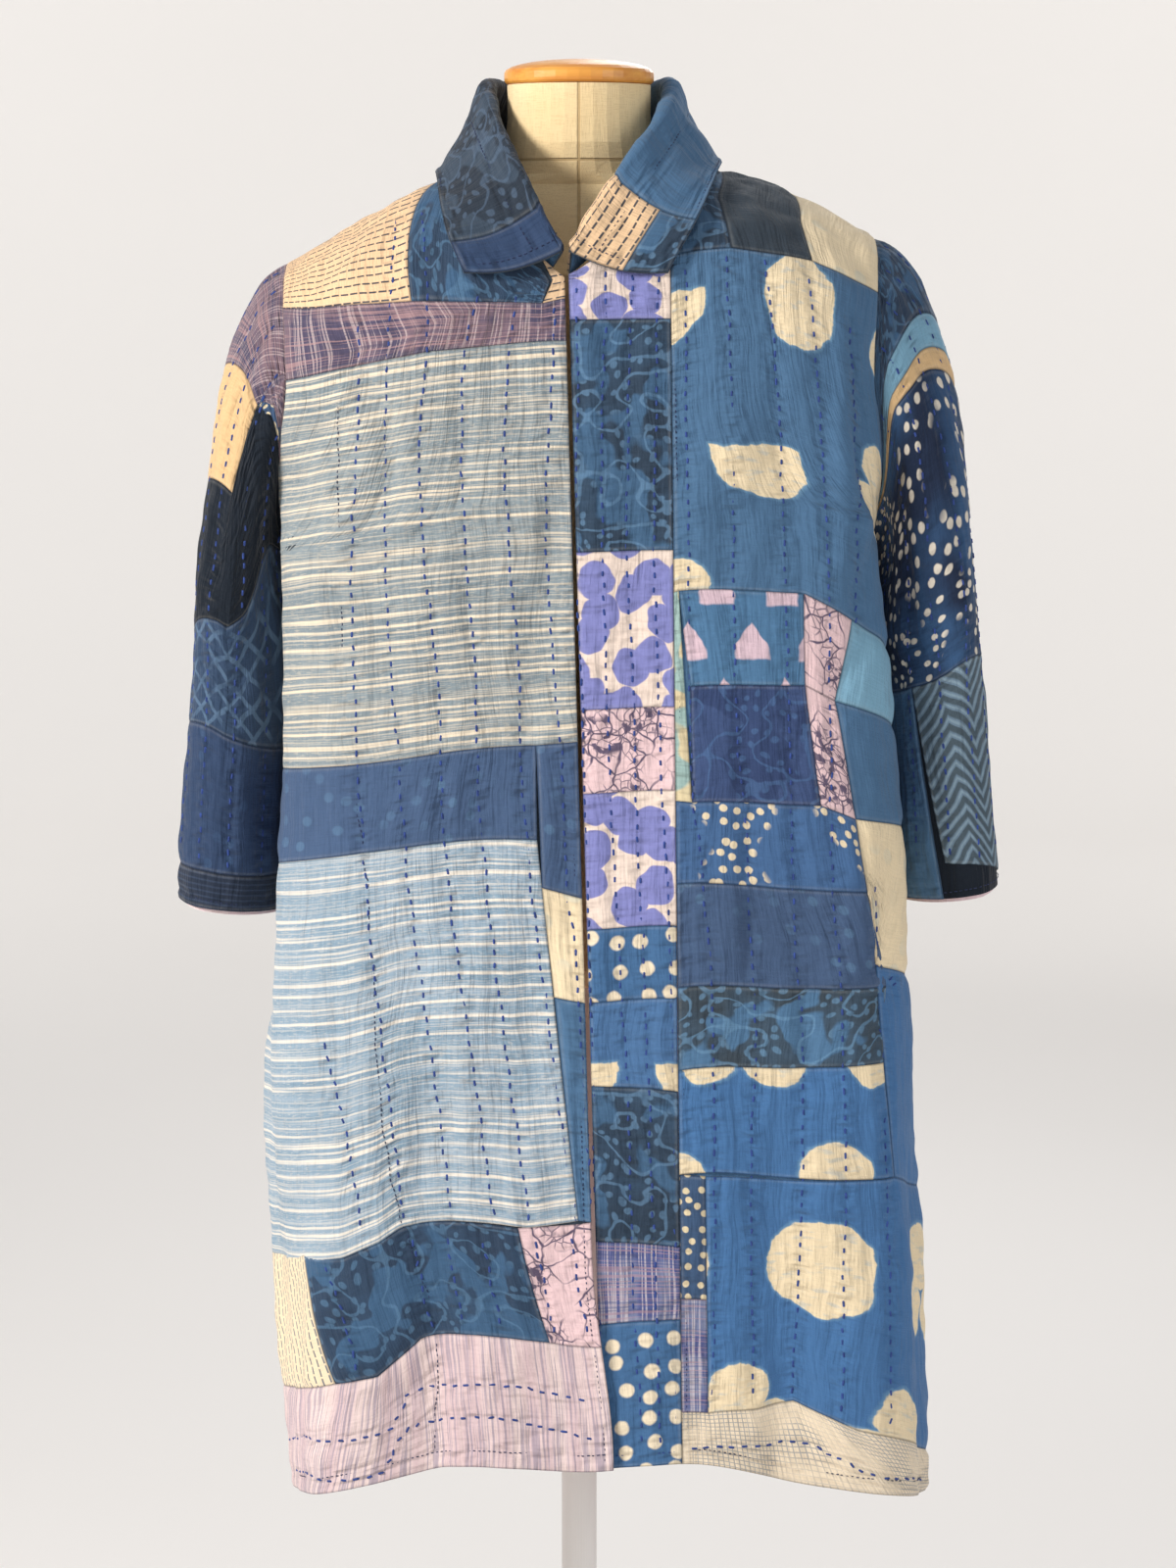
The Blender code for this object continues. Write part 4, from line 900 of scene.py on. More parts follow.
class Garment:
    """A sewn piece: its base cloth, the patches on it and its stitches, for one CAD node."""

    def __init__(self, node, seed):
        self.node = node
        self.chance = np.random.default_rng(seed)
        self.patches, self.rows = [], []

    def base(self, grids, face, lining="lining", wall=0.0018):
        """The base cloth as closed walls, from the outer surface of each grid inwards."""
        points, faces, indices, corners, start = [], [], [], [], 0
        for grid in grids:
            cloth = Cloth(grid)
            own, outer = slab_faces(*grid.shape[:2], start)
            side = np.zeros(len(own), int)
            side[outer:2 * outer] = 1
            points += [grid.reshape(-1, 3), (grid - cloth.normals * wall).reshape(-1, 3)]
            corners += [np.stack(np.meshgrid(*grid_run(grid), indexing="ij"), -1).reshape(-1, 2) * (1, -1)] * 2
            faces.append(own)
            indices.append(side)
            start += 2 * grid[..., 0].size
        far = np.full(start, 0.05)
        piece = cloth_object(
            self.node + "_base", np.concatenate(points), np.concatenate(faces),
            [COTTONS[face], COTTONS[lining]], np.concatenate(indices),
            {"edge": far, "row": far}, np.concatenate(corners),
        )
        return self.sewn(piece)

    def sewn(self, piece):
        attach(piece, "root")
        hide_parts(self.node)
        return piece

    def patch(self, cloth, cotton_name, top, bottom, turn=0.0, shift=None):
        """A patch between two lines of places, each from its left end to its right end."""
        lines = []
        for line in (top, bottom):
            shares = np.array([place if cloth.raw else cloth.find(place) for place in line], float)
            if len(shares) == 1:
                shares = np.array([(0.0, shares[0][1]), (1.0, shares[0][1])])
            lines.append(shares)
        spots = [cloth.at(line[:, 0], line[:, 1], cloth.points) for line in lines]
        marks = []
        for line in spots:
            run = np.concatenate([[0], np.cumsum(np.linalg.norm(np.diff(line, axis=0), axis=1))])
            marks.append(run / max(run[-1], 1e-9))

        def between(s, t):
            ends = []
            for line, mark in zip(lines, marks):
                ends.append(np.stack([np.interp(s, mark, line[:, k]) for k in (0, 1)], -1))
            return ends[0] * (1 - t)[..., None] + ends[1] * t[..., None]

        probe = np.linspace(0, 1, 9)
        s, t = np.meshgrid(probe, probe, indexing="ij")
        shares = between(s, t)
        rough = cloth.at(shares[..., 0], shares[..., 1], cloth.points)
        width = np.linalg.norm(np.diff(rough, axis=0), axis=-1).sum(0).mean()
        height = np.linalg.norm(np.diff(rough, axis=1), axis=-1).sum(1).mean()
        steps = []
        for size in (width, height):
            close = [k / size for k in (0.0, 0.0012, 0.0034) if k < size / 4]
            inner = np.linspace(close[-1], 1 - close[-1], max(2, int(round(size / 0.0044))))
            steps.append(np.unique(np.concatenate([close, inner, [1 - k for k in close]])))
        s, t = np.meshgrid(*steps, indexing="ij")
        shares = between(s, t)
        points, normals = cloth.at(shares[..., 0], shares[..., 1])
        edge = np.minimum(np.minimum(s, 1 - s) * width, np.minimum(t, 1 - t) * height)
        tilt = self.chance.uniform(-1.5, 1.5) + turn
        turned = np.radians(tilt)
        u, v = (s - 0.5) * width, (0.5 - t) * height
        if shift is None:
            shift = self.chance.uniform(-9, 9, 2)
        corners = np.stack([u * np.cos(turned) - v * np.sin(turned) + shift[0],
                            u * np.sin(turned) + v * np.cos(turned) + shift[1]], -1)
        extra = self.chance.uniform(0, 0.00012)
        self.patches.append((cotton_name, points, normals, edge, corners, extra))

    def stitch_row(self, cloth, *places, length=0.0058, pitch=0.0102, thick=0.0009, wander=0.0006, thread="thread"):
        """A row of running stitches through places, with a hand's small unevenness."""
        spots = np.array(places, float)
        mark = np.concatenate([[0], np.cumsum(np.linalg.norm(np.diff(spots, axis=0), axis=1))])
        dense = np.linspace(0, mark[-1], 120)
        smooth = np.stack([curve(np.stack([mark, spots[:, k]], 1), 1, dense) for k in (0, 1)], -1)
        if not cloth.raw:
            smooth = np.array([cloth.find(spot) for spot in smooth])
        points, normals = cloth.at(smooth[:, 0], smooth[:, 1])
        run = np.concatenate([[0], np.cumsum(np.linalg.norm(np.diff(points, axis=0), axis=1))])
        centres = np.arange(pitch / 2, run[-1] - pitch / 3, pitch)
        centres = centres + self.chance.uniform(-0.12, 0.12, len(centres)) * pitch
        place = [np.interp(centres, run, points[:, k]) for k in range(3)]
        facing = [np.interp(centres, run, normals[:, k]) for k in range(3)]
        ahead = [np.interp(centres + 0.001, run, points[:, k]) for k in range(3)]
        behind = [np.interp(centres - 0.001, run, points[:, k]) for k in range(3)]
        place, facing = np.array(place).T, np.array(facing).T
        along = np.array(ahead).T - np.array(behind).T
        if not len(place):
            return
        along /= np.maximum(np.linalg.norm(along, axis=1, keepdims=True), 1e-9)
        facing /= np.linalg.norm(facing, axis=1, keepdims=True)
        side = np.cross(facing, along)
        turn = self.chance.uniform(-0.10, 0.10, len(place))[:, None]
        along, side = along + side * turn, side - along * turn
        place = place + side * self.chance.uniform(-wander, wander, len(place))[:, None]
        long = length * self.chance.uniform(0.82, 1.15, len(place))[:, None]
        self.rows.append((place, facing, along, side, long, thick, thread, points))

    def fine_row(self, cloth, *places, length=0.0026, pitch=0.0040, thread="dark_thread"):
        """A row of small even stitches, as along hems and turned edges."""
        self.stitch_row(cloth, *places, length=length, pitch=pitch, thick=0.0004, wander=0.0002, thread=thread)

    def finish(self):
        """Make the patches and the stitches, each as one piece."""
        line = np.concatenate([row[7] for row in self.rows])
        tree = kdtree.KDTree(len(line))
        for k, point in enumerate(line):
            tree.insert(point, k)
        tree.balance()
        names = sorted({patch[0] for patch in self.patches})
        points, faces, indices, edges, gaps, corners, start = [], [], [], [], [], [], 0
        for name, grid, normals, edge, spread, extra in self.patches:
            gap = np.array([tree.find(p)[2] for p in grid.reshape(-1, 3)]).reshape(edge.shape)
            dip = 0.0016 * np.exp(-((gap / 0.0065) ** 2))
            swell = crumple(grid) * np.clip(edge / 0.006, 0.25, 1)
            lift = 0.0012 + extra + 0.0010 * (1 - np.exp(-edge / 0.004)) - dip * (edge > 0.004) + swell
            lift = np.maximum(lift, 0.0005 + extra)
            outer = grid + normals * lift[..., None]
            inner = grid - normals * 0.0002
            own, count = slab_faces(*edge.shape, start)
            points += [outer.reshape(-1, 3), inner.reshape(-1, 3)]
            faces.append(own)
            indices.append(np.full(len(own), names.index(name)))
            edges += [edge.ravel()] * 2
            gaps += [gap.ravel()] * 2
            corners += [spread.reshape(-1, 2)] * 2
            start += 2 * edge.size
        patches = cloth_object(
            self.node + "_patches", np.concatenate(points), np.concatenate(faces),
            [COTTONS[name] for name in names], np.concatenate(indices),
            {"edge": np.concatenate(edges), "row": np.concatenate(gaps)}, np.concatenate(corners),
        )
        self.sewn(patches)
        points, faces, indices, start = [], [], [], 0
        threads = sorted({row[6] for row in self.rows})
        shape = ((-0.5, 0.0, 0.0003), (-0.30, 1.0, 0.0010), (0.30, 1.0, 0.0010), (0.5, 0.0, 0.0003))
        for place, facing, along, side, long, thick, thread, _ in self.rows:
            place = place + facing * np.clip(crumple(place) * (thick > 0.0006), -0.0004, 0.002)[:, None]
            rings = []
            for at, full, up in shape:
                middle = place + along * long * at + facing * up
                if full:
                    for a, b in ((1, 0), (0, 1), (-1, 0), (0, -1)):
                        rings.append(middle + side * (a * thick) + facing * (b * thick * 0.75))
                else:
                    rings.append(middle)
            spindle = np.stack(rings, 1)
            own = [(0, 1 + (k + 1) % 4, 1 + k) for k in range(4)]
            own += [(9, 5 + k, 5 + (k + 1) % 4) for k in range(4)]
            for k in range(4):
                a, b = 1 + k, 1 + (k + 1) % 4
                own += [(a, b, b + 4), (a, b + 4, a + 4)]
            own = np.array(own)
            count = len(spindle)
            faces.append((own[None] + (np.arange(count) * 10 + start)[:, None, None]).reshape(-1, 3))
            indices.append(np.full(count * len(own), threads.index(thread)))
            points.append(spindle.reshape(-1, 3))
            start += 10 * count
        stitches = cloth_object(
            self.node + "_stitches", np.concatenate(points), np.concatenate(faces),
            [THREADS[thread] for thread in threads], np.concatenate(indices),
        )
        self.sewn(stitches)
        return patches, stitches


def thread_finish(name, code, pale):
    finish = Finish(name, {"Roughness": 0.7, "Sheen Weight": 0.1, "Specular IOR Level": 0.3})
    place = finish.add("TexCoord", out=3)
    worn = finish.noise(place, (240.0, 240.0, 240.0), 2)
    finish.join(finish.blend(worn.over(0.5, 0.5), dye(code), dye(pale)), finish.shader.inputs["Base Color"])
    finish.relief(finish.noise(place, (1800.0, 1800.0, 1800.0), 1), 0.0003)
    return finish.material


THREADS = {
    "thread": thread_finish("blue_thread", "#22366e", "#34509c"),
    "dark_thread": thread_finish("navy_thread", "#1c2440", "#2b3860"),
}
Cloth.raw = False


def shares_of(cloth):
    """The same piece of cloth, with its places given as shares."""
    other = Cloth(cloth.points)
    other.raw = True
    return other


# The wearer's right front: the widest panel, mostly slubbed blue-grey stripes with a dark
# motif patch at the shoulder, dark and pink patches low down and a linen hem.
rows = rise_rows()
right_grid = front_points("right", 60, right_edge_x, NECK_CORNER, 0)
step_heights = right_grid[0, :, 2]
step_lift = 0.0065 * (1 - ease(step_heights, 0.50, 0.82)) * (rows < NECK_CORNER)
right_grid[..., 1] -= np.exp(-(((right_grid[..., 0] - right_grid[:1, :, 0]) / 0.035) ** 2)) * step_lift
right_cloth = Cloth(right_grid[::-1], (
    ((0.04, 0.62), (0.12, 0.97), 0.0050, 0.018),
    ((0.16, 0.70), (0.22, 1.00), -0.0050, 0.016),
    ((0.30, 0.78), (0.33, 1.00), -0.0035, 0.015),
    ((304, 395), (358, 470), -0.0045, 0.012),
    ((302, 440), (362, 535), 0.0035, 0.011),
    ((300, 480), (372, 610), -0.0065, 0.014),
    ((298, 540), (352, 660), 0.0040, 0.012),
    ((345, 350), (400, 510), -0.0050, 0.011),
    ((376, 350), (418, 560), 0.0032, 0.010),
    ((398, 400), (402, 700), -0.0034, 0.009),
    ((436, 380), (444, 640), 0.0018, 0.010),
    ((470, 430), (482, 700), -0.0026, 0.010),
    ((515, 400), (528, 690), 0.0022, 0.012),
    ((568, 500), (548, 620), -0.0045, 0.010),
    ((552, 600), (536, 760), -0.0032, 0.012),
    ((330, 900), (352, 1200), -0.0036, 0.014),
    ((392, 900), (428, 1240), -0.0032, 0.012),
    ((440, 920), (486, 1230), 0.0028, 0.013),
    ((520, 900), (562, 1220), -0.0036, 0.012),
    ((340, 1290), (372, 1400), -0.0030, 0.010),
    ((400, 1280), (430, 1380), 0.0026, 0.010),
    ((500, 1270), (520, 1380), -0.0026, 0.010),
    ((330, 1430), (450, 1410), -0.0030, 0.010),
    ((520, 1400), (536, 1490), -0.0030, 0.012),
))
right = Garment("front_right", 11)
right_base = right.base([right_cloth.points], "charcoal")
PLAID_TOP = [("<", 314), (420, 308), (553, 309), (">", 309)]
STRIPES_TOP = [("<", 388), (370, 372), (440, 358), (">", 350)]
INDIGO_TOP = [("<", 780), (440, 770), (548, 760), (">", 757)]
LOW_STRIPES_TOP = [("<", 880), (370, 870), (548, 858)]
LOW_DARK_TOP = [(312, 1279), (350, 1283), (385, 1270), (410, 1252), (430, 1248), (528, 1253)]
LINEN_TOP = [(343, 1412), (385, 1405), (430, 1365), (560, 1370)]
for fabric, top, bottom in (
    ("dash", [("<", "^"), (452, "^")], [("<", 314), (420, 308)]),
    ("vine_dark", [(452, "^"), (474, "^"), (530, 262), (553, 275)], [(420, 308), (553, 309)]),
    ("dash", [(553, 262), (">", 262)], [(553, 309), (">", 309)]),
    ("mauve", PLAID_TOP, STRIPES_TOP),
    ("stripe", STRIPES_TOP, INDIGO_TOP),
    ("indigo", INDIGO_TOP[:3], LOW_STRIPES_TOP),
    ("indigo", INDIGO_TOP[2:], [(553, 905), (">", 915)]),
    ("cream", [(553, 905), (">", 915)], [(565, 1018), (">", 1018)]),
    ("blue", [(565, 1018), (">", 1018)], [(590, 1245), (">", 1245)]),
    ("stripe_blue", LOW_STRIPES_TOP,
     [("<", 1270), (350, 1283), (385, 1270), (410, 1252), (430, 1248), (540, 1253), (590, 1245)]),
    ("dash_up", [("<", 1270), (312, 1279)], [("<", 1410), (343, 1412)]),
    ("vine_dark", LOW_DARK_TOP, LINEN_TOP),
    ("crackle", [(528, 1253), (">", 1245)], [(560, 1370), (">", 1372)]),
    ("linen", [("<", 1410)] + LINEN_TOP + [(">", 1372)], [("<", "_"), (">", "_")]),
):
    right.patch(right_cloth, fabric, top, bottom)
for line in (
    [(366, 330), (366, 400), (360, 560), (362, 700), (366, 790), (372, 880), (400, 1150), (413, 1250)],
    [(405, 225), (397, 330), (393, 470), (396, 640), (406, 770), (415, 880), (446, 1120), (462, 1250)],
    [(432, 215), (437, 330), (428, 470), (436, 600), (447, 700), (449, 770), (456, 880), (484, 1100), (505, 1250)],
    [(488, 300), (480, 330), (471, 460), (477, 580), (485, 700), (487, 770), (494, 880), (515, 1060), (540, 1250)],
    [(528, 300), (523, 330), (515, 460), (522, 590), (530, 700), (532, 770), (540, 880), (565, 1080), (588, 1250)],
    [(566, 280), (563, 400), (558, 470), (562, 640), (572, 760), (575, 850), (590, 1010), (604, 1240)],
    [(300, 1465), (350, 1470), (400, 1455), (420, 1420), (470, 1412), (600, 1428)],
    [(305, 1500), (340, 1512), (390, 1500), (415, 1460), (470, 1447), (610, 1468)],
    [(330, 1060), (352, 1150), (370, 1255)],
    [(332, 1290), (352, 1350), (366, 1405)],
    [(420, 1262), (440, 1358)], [(455, 1262), (475, 1360)], [(492, 1264), (512, 1362)], [(545, 1262), (566, 1362)],
    [(582, 1260), (600, 1364)],
):
    right.stitch_row(right_cloth, *line)
right.fine_row(right_cloth, (345, 325), (347, 572), (357, 770), (371, 868), (408, 1240), (443, 1350), (443, 1480),
               length=0.0030, pitch=0.0042)
right_plan = shares_of(right_cloth)
for across in (0.012, 0.985):
    right.fine_row(right_plan, (across, 0.20), (across, 0.6), (across, 0.995))
right.fine_row(right_plan, (0.01, 0.988), (0.5, 0.988), (0.99, 0.988))
right_pieces = right.finish()


# The strip down the wearer's left edge: ten short patches end to end, sewn on as one length.
# Its top is cut off along the neckline, and its edge is turned in and stitched.
def neck_rise(x, start):
    return NECK_CORNER + (1 - NECK_CORNER) * ((x - start) / (NECK_X - start)) ** 1.25


band_rows = rows[rows <= NECK_CORNER]
band_grid = np.zeros((15, len(band_rows) + 3, 3))
for i in range(15):
    for j in range(len(band_rows) + 3):
        rise = band_rows[max(j - 3, 0)]
        if j < 3:
            top = neck_rise(CORNER_X["left"] + (BAND_TOP_X - CORNER_X["left"]) * i / 14, CORNER_X["left"])
            rise = rise + (top - rise) * (3 - j) / 3
        height = MEAN_HEM + (NECK_HEIGHT - MEAN_HEM) * rise
        inside = edge_x(height) + 0.0015
        x = inside + (band_x(height) - SEAM_GAP - inside) * i / 14
        band_grid[i, j] = body_points(angle_at(x, height), rise, NECK_HEIGHT)
band_cloth = Cloth(band_grid, (
    ((0.25, 0.10), (0.35, 0.45), 0.0016, 0.008),
    ((0.75, 0.30), (0.65, 0.80), -0.0016, 0.008),
    ((0.55, 0.08), (0.45, 0.24), -0.0018, 0.006),
    ((0.80, 0.10), (0.72, 0.24), 0.0014, 0.005),
    ((0.40, 0.50), (0.46, 0.90), -0.0014, 0.008),
))
band = Garment("front_band_left", 12)
band_base = band.base([band_cloth.points], "blue")
band_tops = ("^", 330, 565, 722, 805, 948, 1020, 1110, 1270, 1348, "_")
for k, fabric in enumerate(("bloom", "vine", "bloom", "crackle", "bloom", "polka", "disc_small", "vine",
                            "mauve_blue", "polka")):
    band.patch(band_cloth, fabric, [("<", band_tops[k]), (">", band_tops[k])],
               [("<", band_tops[k + 1]), (">", band_tops[k + 1])])
for line in (
    [(590, 275), (588, 560), (590, 720), (596, 950), (602, 1110), (607, 1270), (618, 1475)],
    [(618, 275), (614, 560), (620, 722), (630, 950), (640, 1110), (645, 1270), (655, 1475)],
    [(645, 275), (640, 560), (646, 722), (655, 950), (662, 1110), (667, 1270), (674, 1475)],
    [(672, 275), (668, 560), (672, 722), (683, 950), (688, 1110), (690, 1475)],
):
    band.stitch_row(band_cloth, *line)
for line in ([(0.03, 0.03), (0.03, 0.5), (0.03, 0.995)], [(0.03, 0.99), (0.5, 0.99), (0.97, 0.99)]):
    band.fine_row(shares_of(band_cloth), *line, thread="thread")
band_pieces = band.finish()


# The wearer's left front: blue cloth with large cream rounds, a block of small patches
# beside the strip, a side piece of several blues and a checked cream hem.
band_rise = neck_rise(BAND_TOP_X, CORNER_X["left"])
left_grid = front_points("left", 50, band_x, band_rise, SEAM_GAP)
left_cloth = Cloth(left_grid, (
    ((0.86, 0.60), (0.80, 0.99), 0.0045, 0.020),
    ((0.70, 0.72), (0.66, 1.00), -0.0040, 0.018),
    ((0.94, 0.48), (0.90, 0.95), -0.0035, 0.016),
    ((0.98, 0.14), (0.80, 0.33), -0.0035, 0.016),
    ((0.93, 0.28), (0.82, 0.50), 0.0028, 0.018),
    ((880, 400), (868, 620), -0.0050, 0.012),
    ((858, 380), (846, 600), 0.0036, 0.011),
    ((890, 600), (846, 720), -0.0040, 0.012),
    ((720, 330), (726, 600), -0.0026, 0.010),
    ((790, 330), (782, 590), -0.0028, 0.010),
    ((756, 700), (762, 980), -0.0024, 0.010),
    ((820, 840), (832, 1100), -0.0030, 0.012),
    ((880, 900), (898, 1180), 0.0032, 0.014),
    ((740, 1060), (748, 1190), -0.0026, 0.010),
    ((780, 1200), (800, 1430), -0.0030, 0.013),
    ((870, 1180), (886, 1440), -0.0030, 0.013),
    ((0.70, 0.16), (0.74, 0.52), -0.0026, 0.014),
    ((0.55, 0.20), (0.52, 0.50), 0.0020, 0.016),
    ((0.30, 0.14), (0.28, 0.46), -0.0018, 0.014),
    ((0.44, 0.50), (0.42, 0.85), -0.0020, 0.015),
    ((0.20, 0.60), (0.22, 0.95), 0.0018, 0.014),
    ((0.35, 0.80), (0.37, 1.00), 0.0026, 0.016),
))
left = Garment("front_left", 13)
left_base = left.base([left_cloth.points], "blue")
CHECKS_TOP = [("<", 1440), (722, 1440), (770, 1437), (810, 1430), (875, 1460), (">", 1480)]
for fabric, top, bottom in (
    ("vine", [("<", "^"), (735, "^")], [("<", 262), (745, 255)]),
    ("charcoal", [(735, "^"), (805, "^")], [(745, 255), (828, 268)]),
    ("cream", [(805, "^"), (">", "^")], [(828, 268), (">", 300)]),
    ("disc", [("<", 262), (745, 255), (828, 268), (">", 300)],
     [("<", 602), (692, 602), (820, 606), (868, 632), (">", 700)]),
    ("triangle", [(692, 602), (820, 606)], [(703, 700), (820, 700)]),
    ("aqua", [("<", 602), (692, 602)], [("<", 822), (706, 820)]),
    ("indigo_deep", [(703, 700), (820, 700)], [(706, 820), (838, 822)]),
    ("crackle", [(820, 606), (868, 632)], [(820, 700), (850, 715)]),
    ("crackle", [(820, 700), (850, 715)], [(838, 822), (871, 836)]),
    ("light_blue", [(868, 632), (">", 700)], [(850, 715), (">", 765)]),
    ("blue", [(850, 715), (">", 765)], [(871, 836), (">", 850)]),
    ("cream", [(871, 836), (">", 850)], [(883, 910), (892, 985), (">", 1000)]),
    ("blue_low", [(892, 985), (">", 1000)], [(910, 1203), (">", 1210)]),
    ("small_dots", [("<", 822), (706, 820), (838, 822), (871, 836)], [("<", 905), (883, 910)]),
    ("indigo", [("<", 905), (883, 910)], [("<", 1008), (893, 1005)]),
    ("vine_grey", [("<", 1008), (893, 1005)], [("<", 1090), (899, 1085)]),
    ("disc_low", [("<", 1090), (899, 1085)], [("<", 1200), (910, 1203)]),
    ("disc_low", [(720, 1200), (910, 1203), (">", 1210)], CHECKS_TOP[1:]),
    ("navy_dots", [("<", 1200), (720, 1200)], [("<", 1325), (721, 1325)]),
    ("mauve_blue", [("<", 1325), (721, 1325)], [("<", 1440), (722, 1440)]),
    ("checks", CHECKS_TOP, [("<", "_"), (">", "_")]),
):
    left.patch(left_cloth, fabric, top, bottom)
for line in (
    [(699, 270), (701, 470), (702, 620), (708, 820), (719, 910), (725, 1010), (727, 1430)],
    [(741, 258), (748, 470), (750, 700), (758, 820), (765, 940), (769, 1010), (767, 1200), (768, 1430)],
    [(780, 262), (794, 410), (799, 570), (803, 700), (806, 820), (808, 910), (815, 1010), (815, 1300), (808, 1425)],
    [(825, 280), (838, 450), (846, 620), (846, 760), (850, 900), (856, 1010), (862, 1200), (858, 1445)],
    [(866, 330), (872, 480), (872, 640)],
    [(890, 900), (896, 1030), (905, 1250), (908, 1460)],
    [(700, 1478), (760, 1476), (815, 1472), (850, 1485), (900, 1508), (938, 1510)],
):
    left.stitch_row(left_cloth, *line)
for line in (
    [(0.012, 0.12), (0.012, 0.5), (0.012, 0.99)], [(0.01, 0.989), (0.5, 0.989), (0.99, 0.989)],
):
    left.fine_row(shares_of(left_cloth), *line)
left_pieces = left.finish()


# The back: one width of patchwork in the same cottons, with narrow pieces over the shoulders
# on both sides of the neck. The photograph doesn't show it, so its layout is made up.
def boxes(garment, cloth, places):
    """Upright patches given by cotton, then left, right, top and bottom as shares."""
    for fabric, west, east, north, south in places:
        garment.patch(cloth, fabric, [(west, north), (east, north)], [(west, south), (east, south)])


def quilted(garment, cloth, places, low=0.01, high=0.97, rises=None):
    """Upright rows of stitches at shares of the width, wandering a little."""
    for place in places:
        downs = np.linspace(low, high, 25)
        drift = np.interp(downs, np.linspace(low, high, 6), garment.chance.uniform(-0.008, 0.008, 6))
        across = place + drift
        if rises is not None:
            rise = np.interp(downs, np.linspace(0, 1, len(rises)), rises)
            across = 0.5 + (across - 0.5) * 90 / armhole_angle(rise)
        kept = (across > 0.015) & (across < 0.985)
        if kept.sum() > 3:
            garment.stitch_row(cloth, *zip(across[kept], downs[kept]))


back_left, back_right = back_points("left"), back_points("right")
first = int(np.argmax(rows <= BACK_NECK))
back_joined = np.concatenate([back_left[::-1, first:], back_right[1:, first:]])
back_cloth = Cloth(back_joined, (
    ((0.06, 0.60), (0.10, 1.00), 0.0045, 0.020),
    ((0.18, 0.66), (0.20, 1.00), -0.0042, 0.018),
    ((0.34, 0.74), (0.33, 1.00), 0.0030, 0.018),
    ((0.55, 0.55), (0.56, 1.00), -0.0030, 0.022),
    ((0.72, 0.70), (0.74, 1.00), 0.0036, 0.020),
    ((0.90, 0.58), (0.88, 1.00), -0.0044, 0.018),
    ((0.03, 0.10), (0.22, 0.30), -0.0030, 0.018),
    ((0.97, 0.12), (0.80, 0.34), -0.0032, 0.018),
    ((0.10, 0.26), (0.18, 0.50), 0.0024, 0.020),
    ((0.86, 0.24), (0.80, 0.52), 0.0026, 0.020),
    ((0.44, 0.20), (0.43, 0.60), 0.0016, 0.024),
))
back_left[::-1, first:] = back_cloth.points[:len(back_left)]
back_right[:, first:] = back_cloth.points[len(back_left) - 1:]
back = Garment("back", 14)
back_base = back.base([back_left[::-1], back_right], "indigo")
yoke_share = first / (len(rows) - 1)
for grid, near, far in (
    (back_left[::-1], ("charcoal", 0.5, 1.0), ("cream", 0.0, 0.5)),
    (back_right, ("vine_dark", 0.0, 0.5), ("dash", 0.5, 1.0)),
):
    yoke = Cloth(grid)
    yoke.raw = True
    boxes(back, yoke, ((*near, 0, yoke_share), (*far, 0, yoke_share)))
back_plan = shares_of(back_cloth)
boxes(back, back_plan, (
    ("cream", 0.00, 0.17, 0.00, 0.10), ("charcoal", 0.17, 0.34, 0.00, 0.10), ("vine_dark", 0.34, 0.62, 0.00, 0.10),
    ("dash", 0.62, 1.00, 0.00, 0.10), ("blue", 0.00, 0.40, 0.10, 0.15), ("mauve", 0.40, 1.00, 0.10, 0.15),
    ("disc", 0.00, 0.40, 0.15, 0.46), ("stripe", 0.40, 0.80, 0.15, 0.50), ("vine", 0.80, 1.00, 0.15, 0.33),
    ("bloom", 0.80, 1.00, 0.33, 0.50), ("triangle", 0.00, 0.14, 0.46, 0.56), ("indigo_deep", 0.14, 0.30, 0.46, 0.56),
    ("crackle", 0.30, 0.40, 0.46, 0.56), ("indigo", 0.40, 0.86, 0.50, 0.58), ("cream", 0.86, 1.00, 0.50, 0.58),
    ("small_dots", 0.00, 0.26, 0.56, 0.64), ("vine_grey", 0.26, 0.40, 0.56, 0.70), ("blue", 0.00, 0.26, 0.64, 0.76),
    ("stripe_blue", 0.40, 0.78, 0.58, 0.86), ("polka", 0.78, 1.00, 0.58, 0.70), ("disc_low", 0.78, 1.00, 0.70, 0.93),
    ("light_blue", 0.26, 0.40, 0.70, 0.76), ("disc_low", 0.00, 0.28, 0.76, 0.94), ("vine", 0.28, 0.40, 0.76, 0.94),
    ("indigo_deep", 0.40, 0.62, 0.86, 0.94), ("crackle", 0.62, 0.78, 0.86, 0.93),
    ("checks", 0.00, 0.40, 0.94, 1.00), ("linen", 0.40, 0.62, 0.94, 1.00), ("linen", 0.62, 1.00, 0.93, 1.00),
))
quilted(back, back_plan, np.linspace(0.03, 0.97, 19), rises=rows[first:])
back.stitch_row(back_plan, (0.01, 0.965), (0.5, 0.965), (0.99, 0.965))
back.fine_row(back_plan, (0.01, 0.99), (0.5, 0.99), (0.99, 0.99))
back_pieces = back.finish()


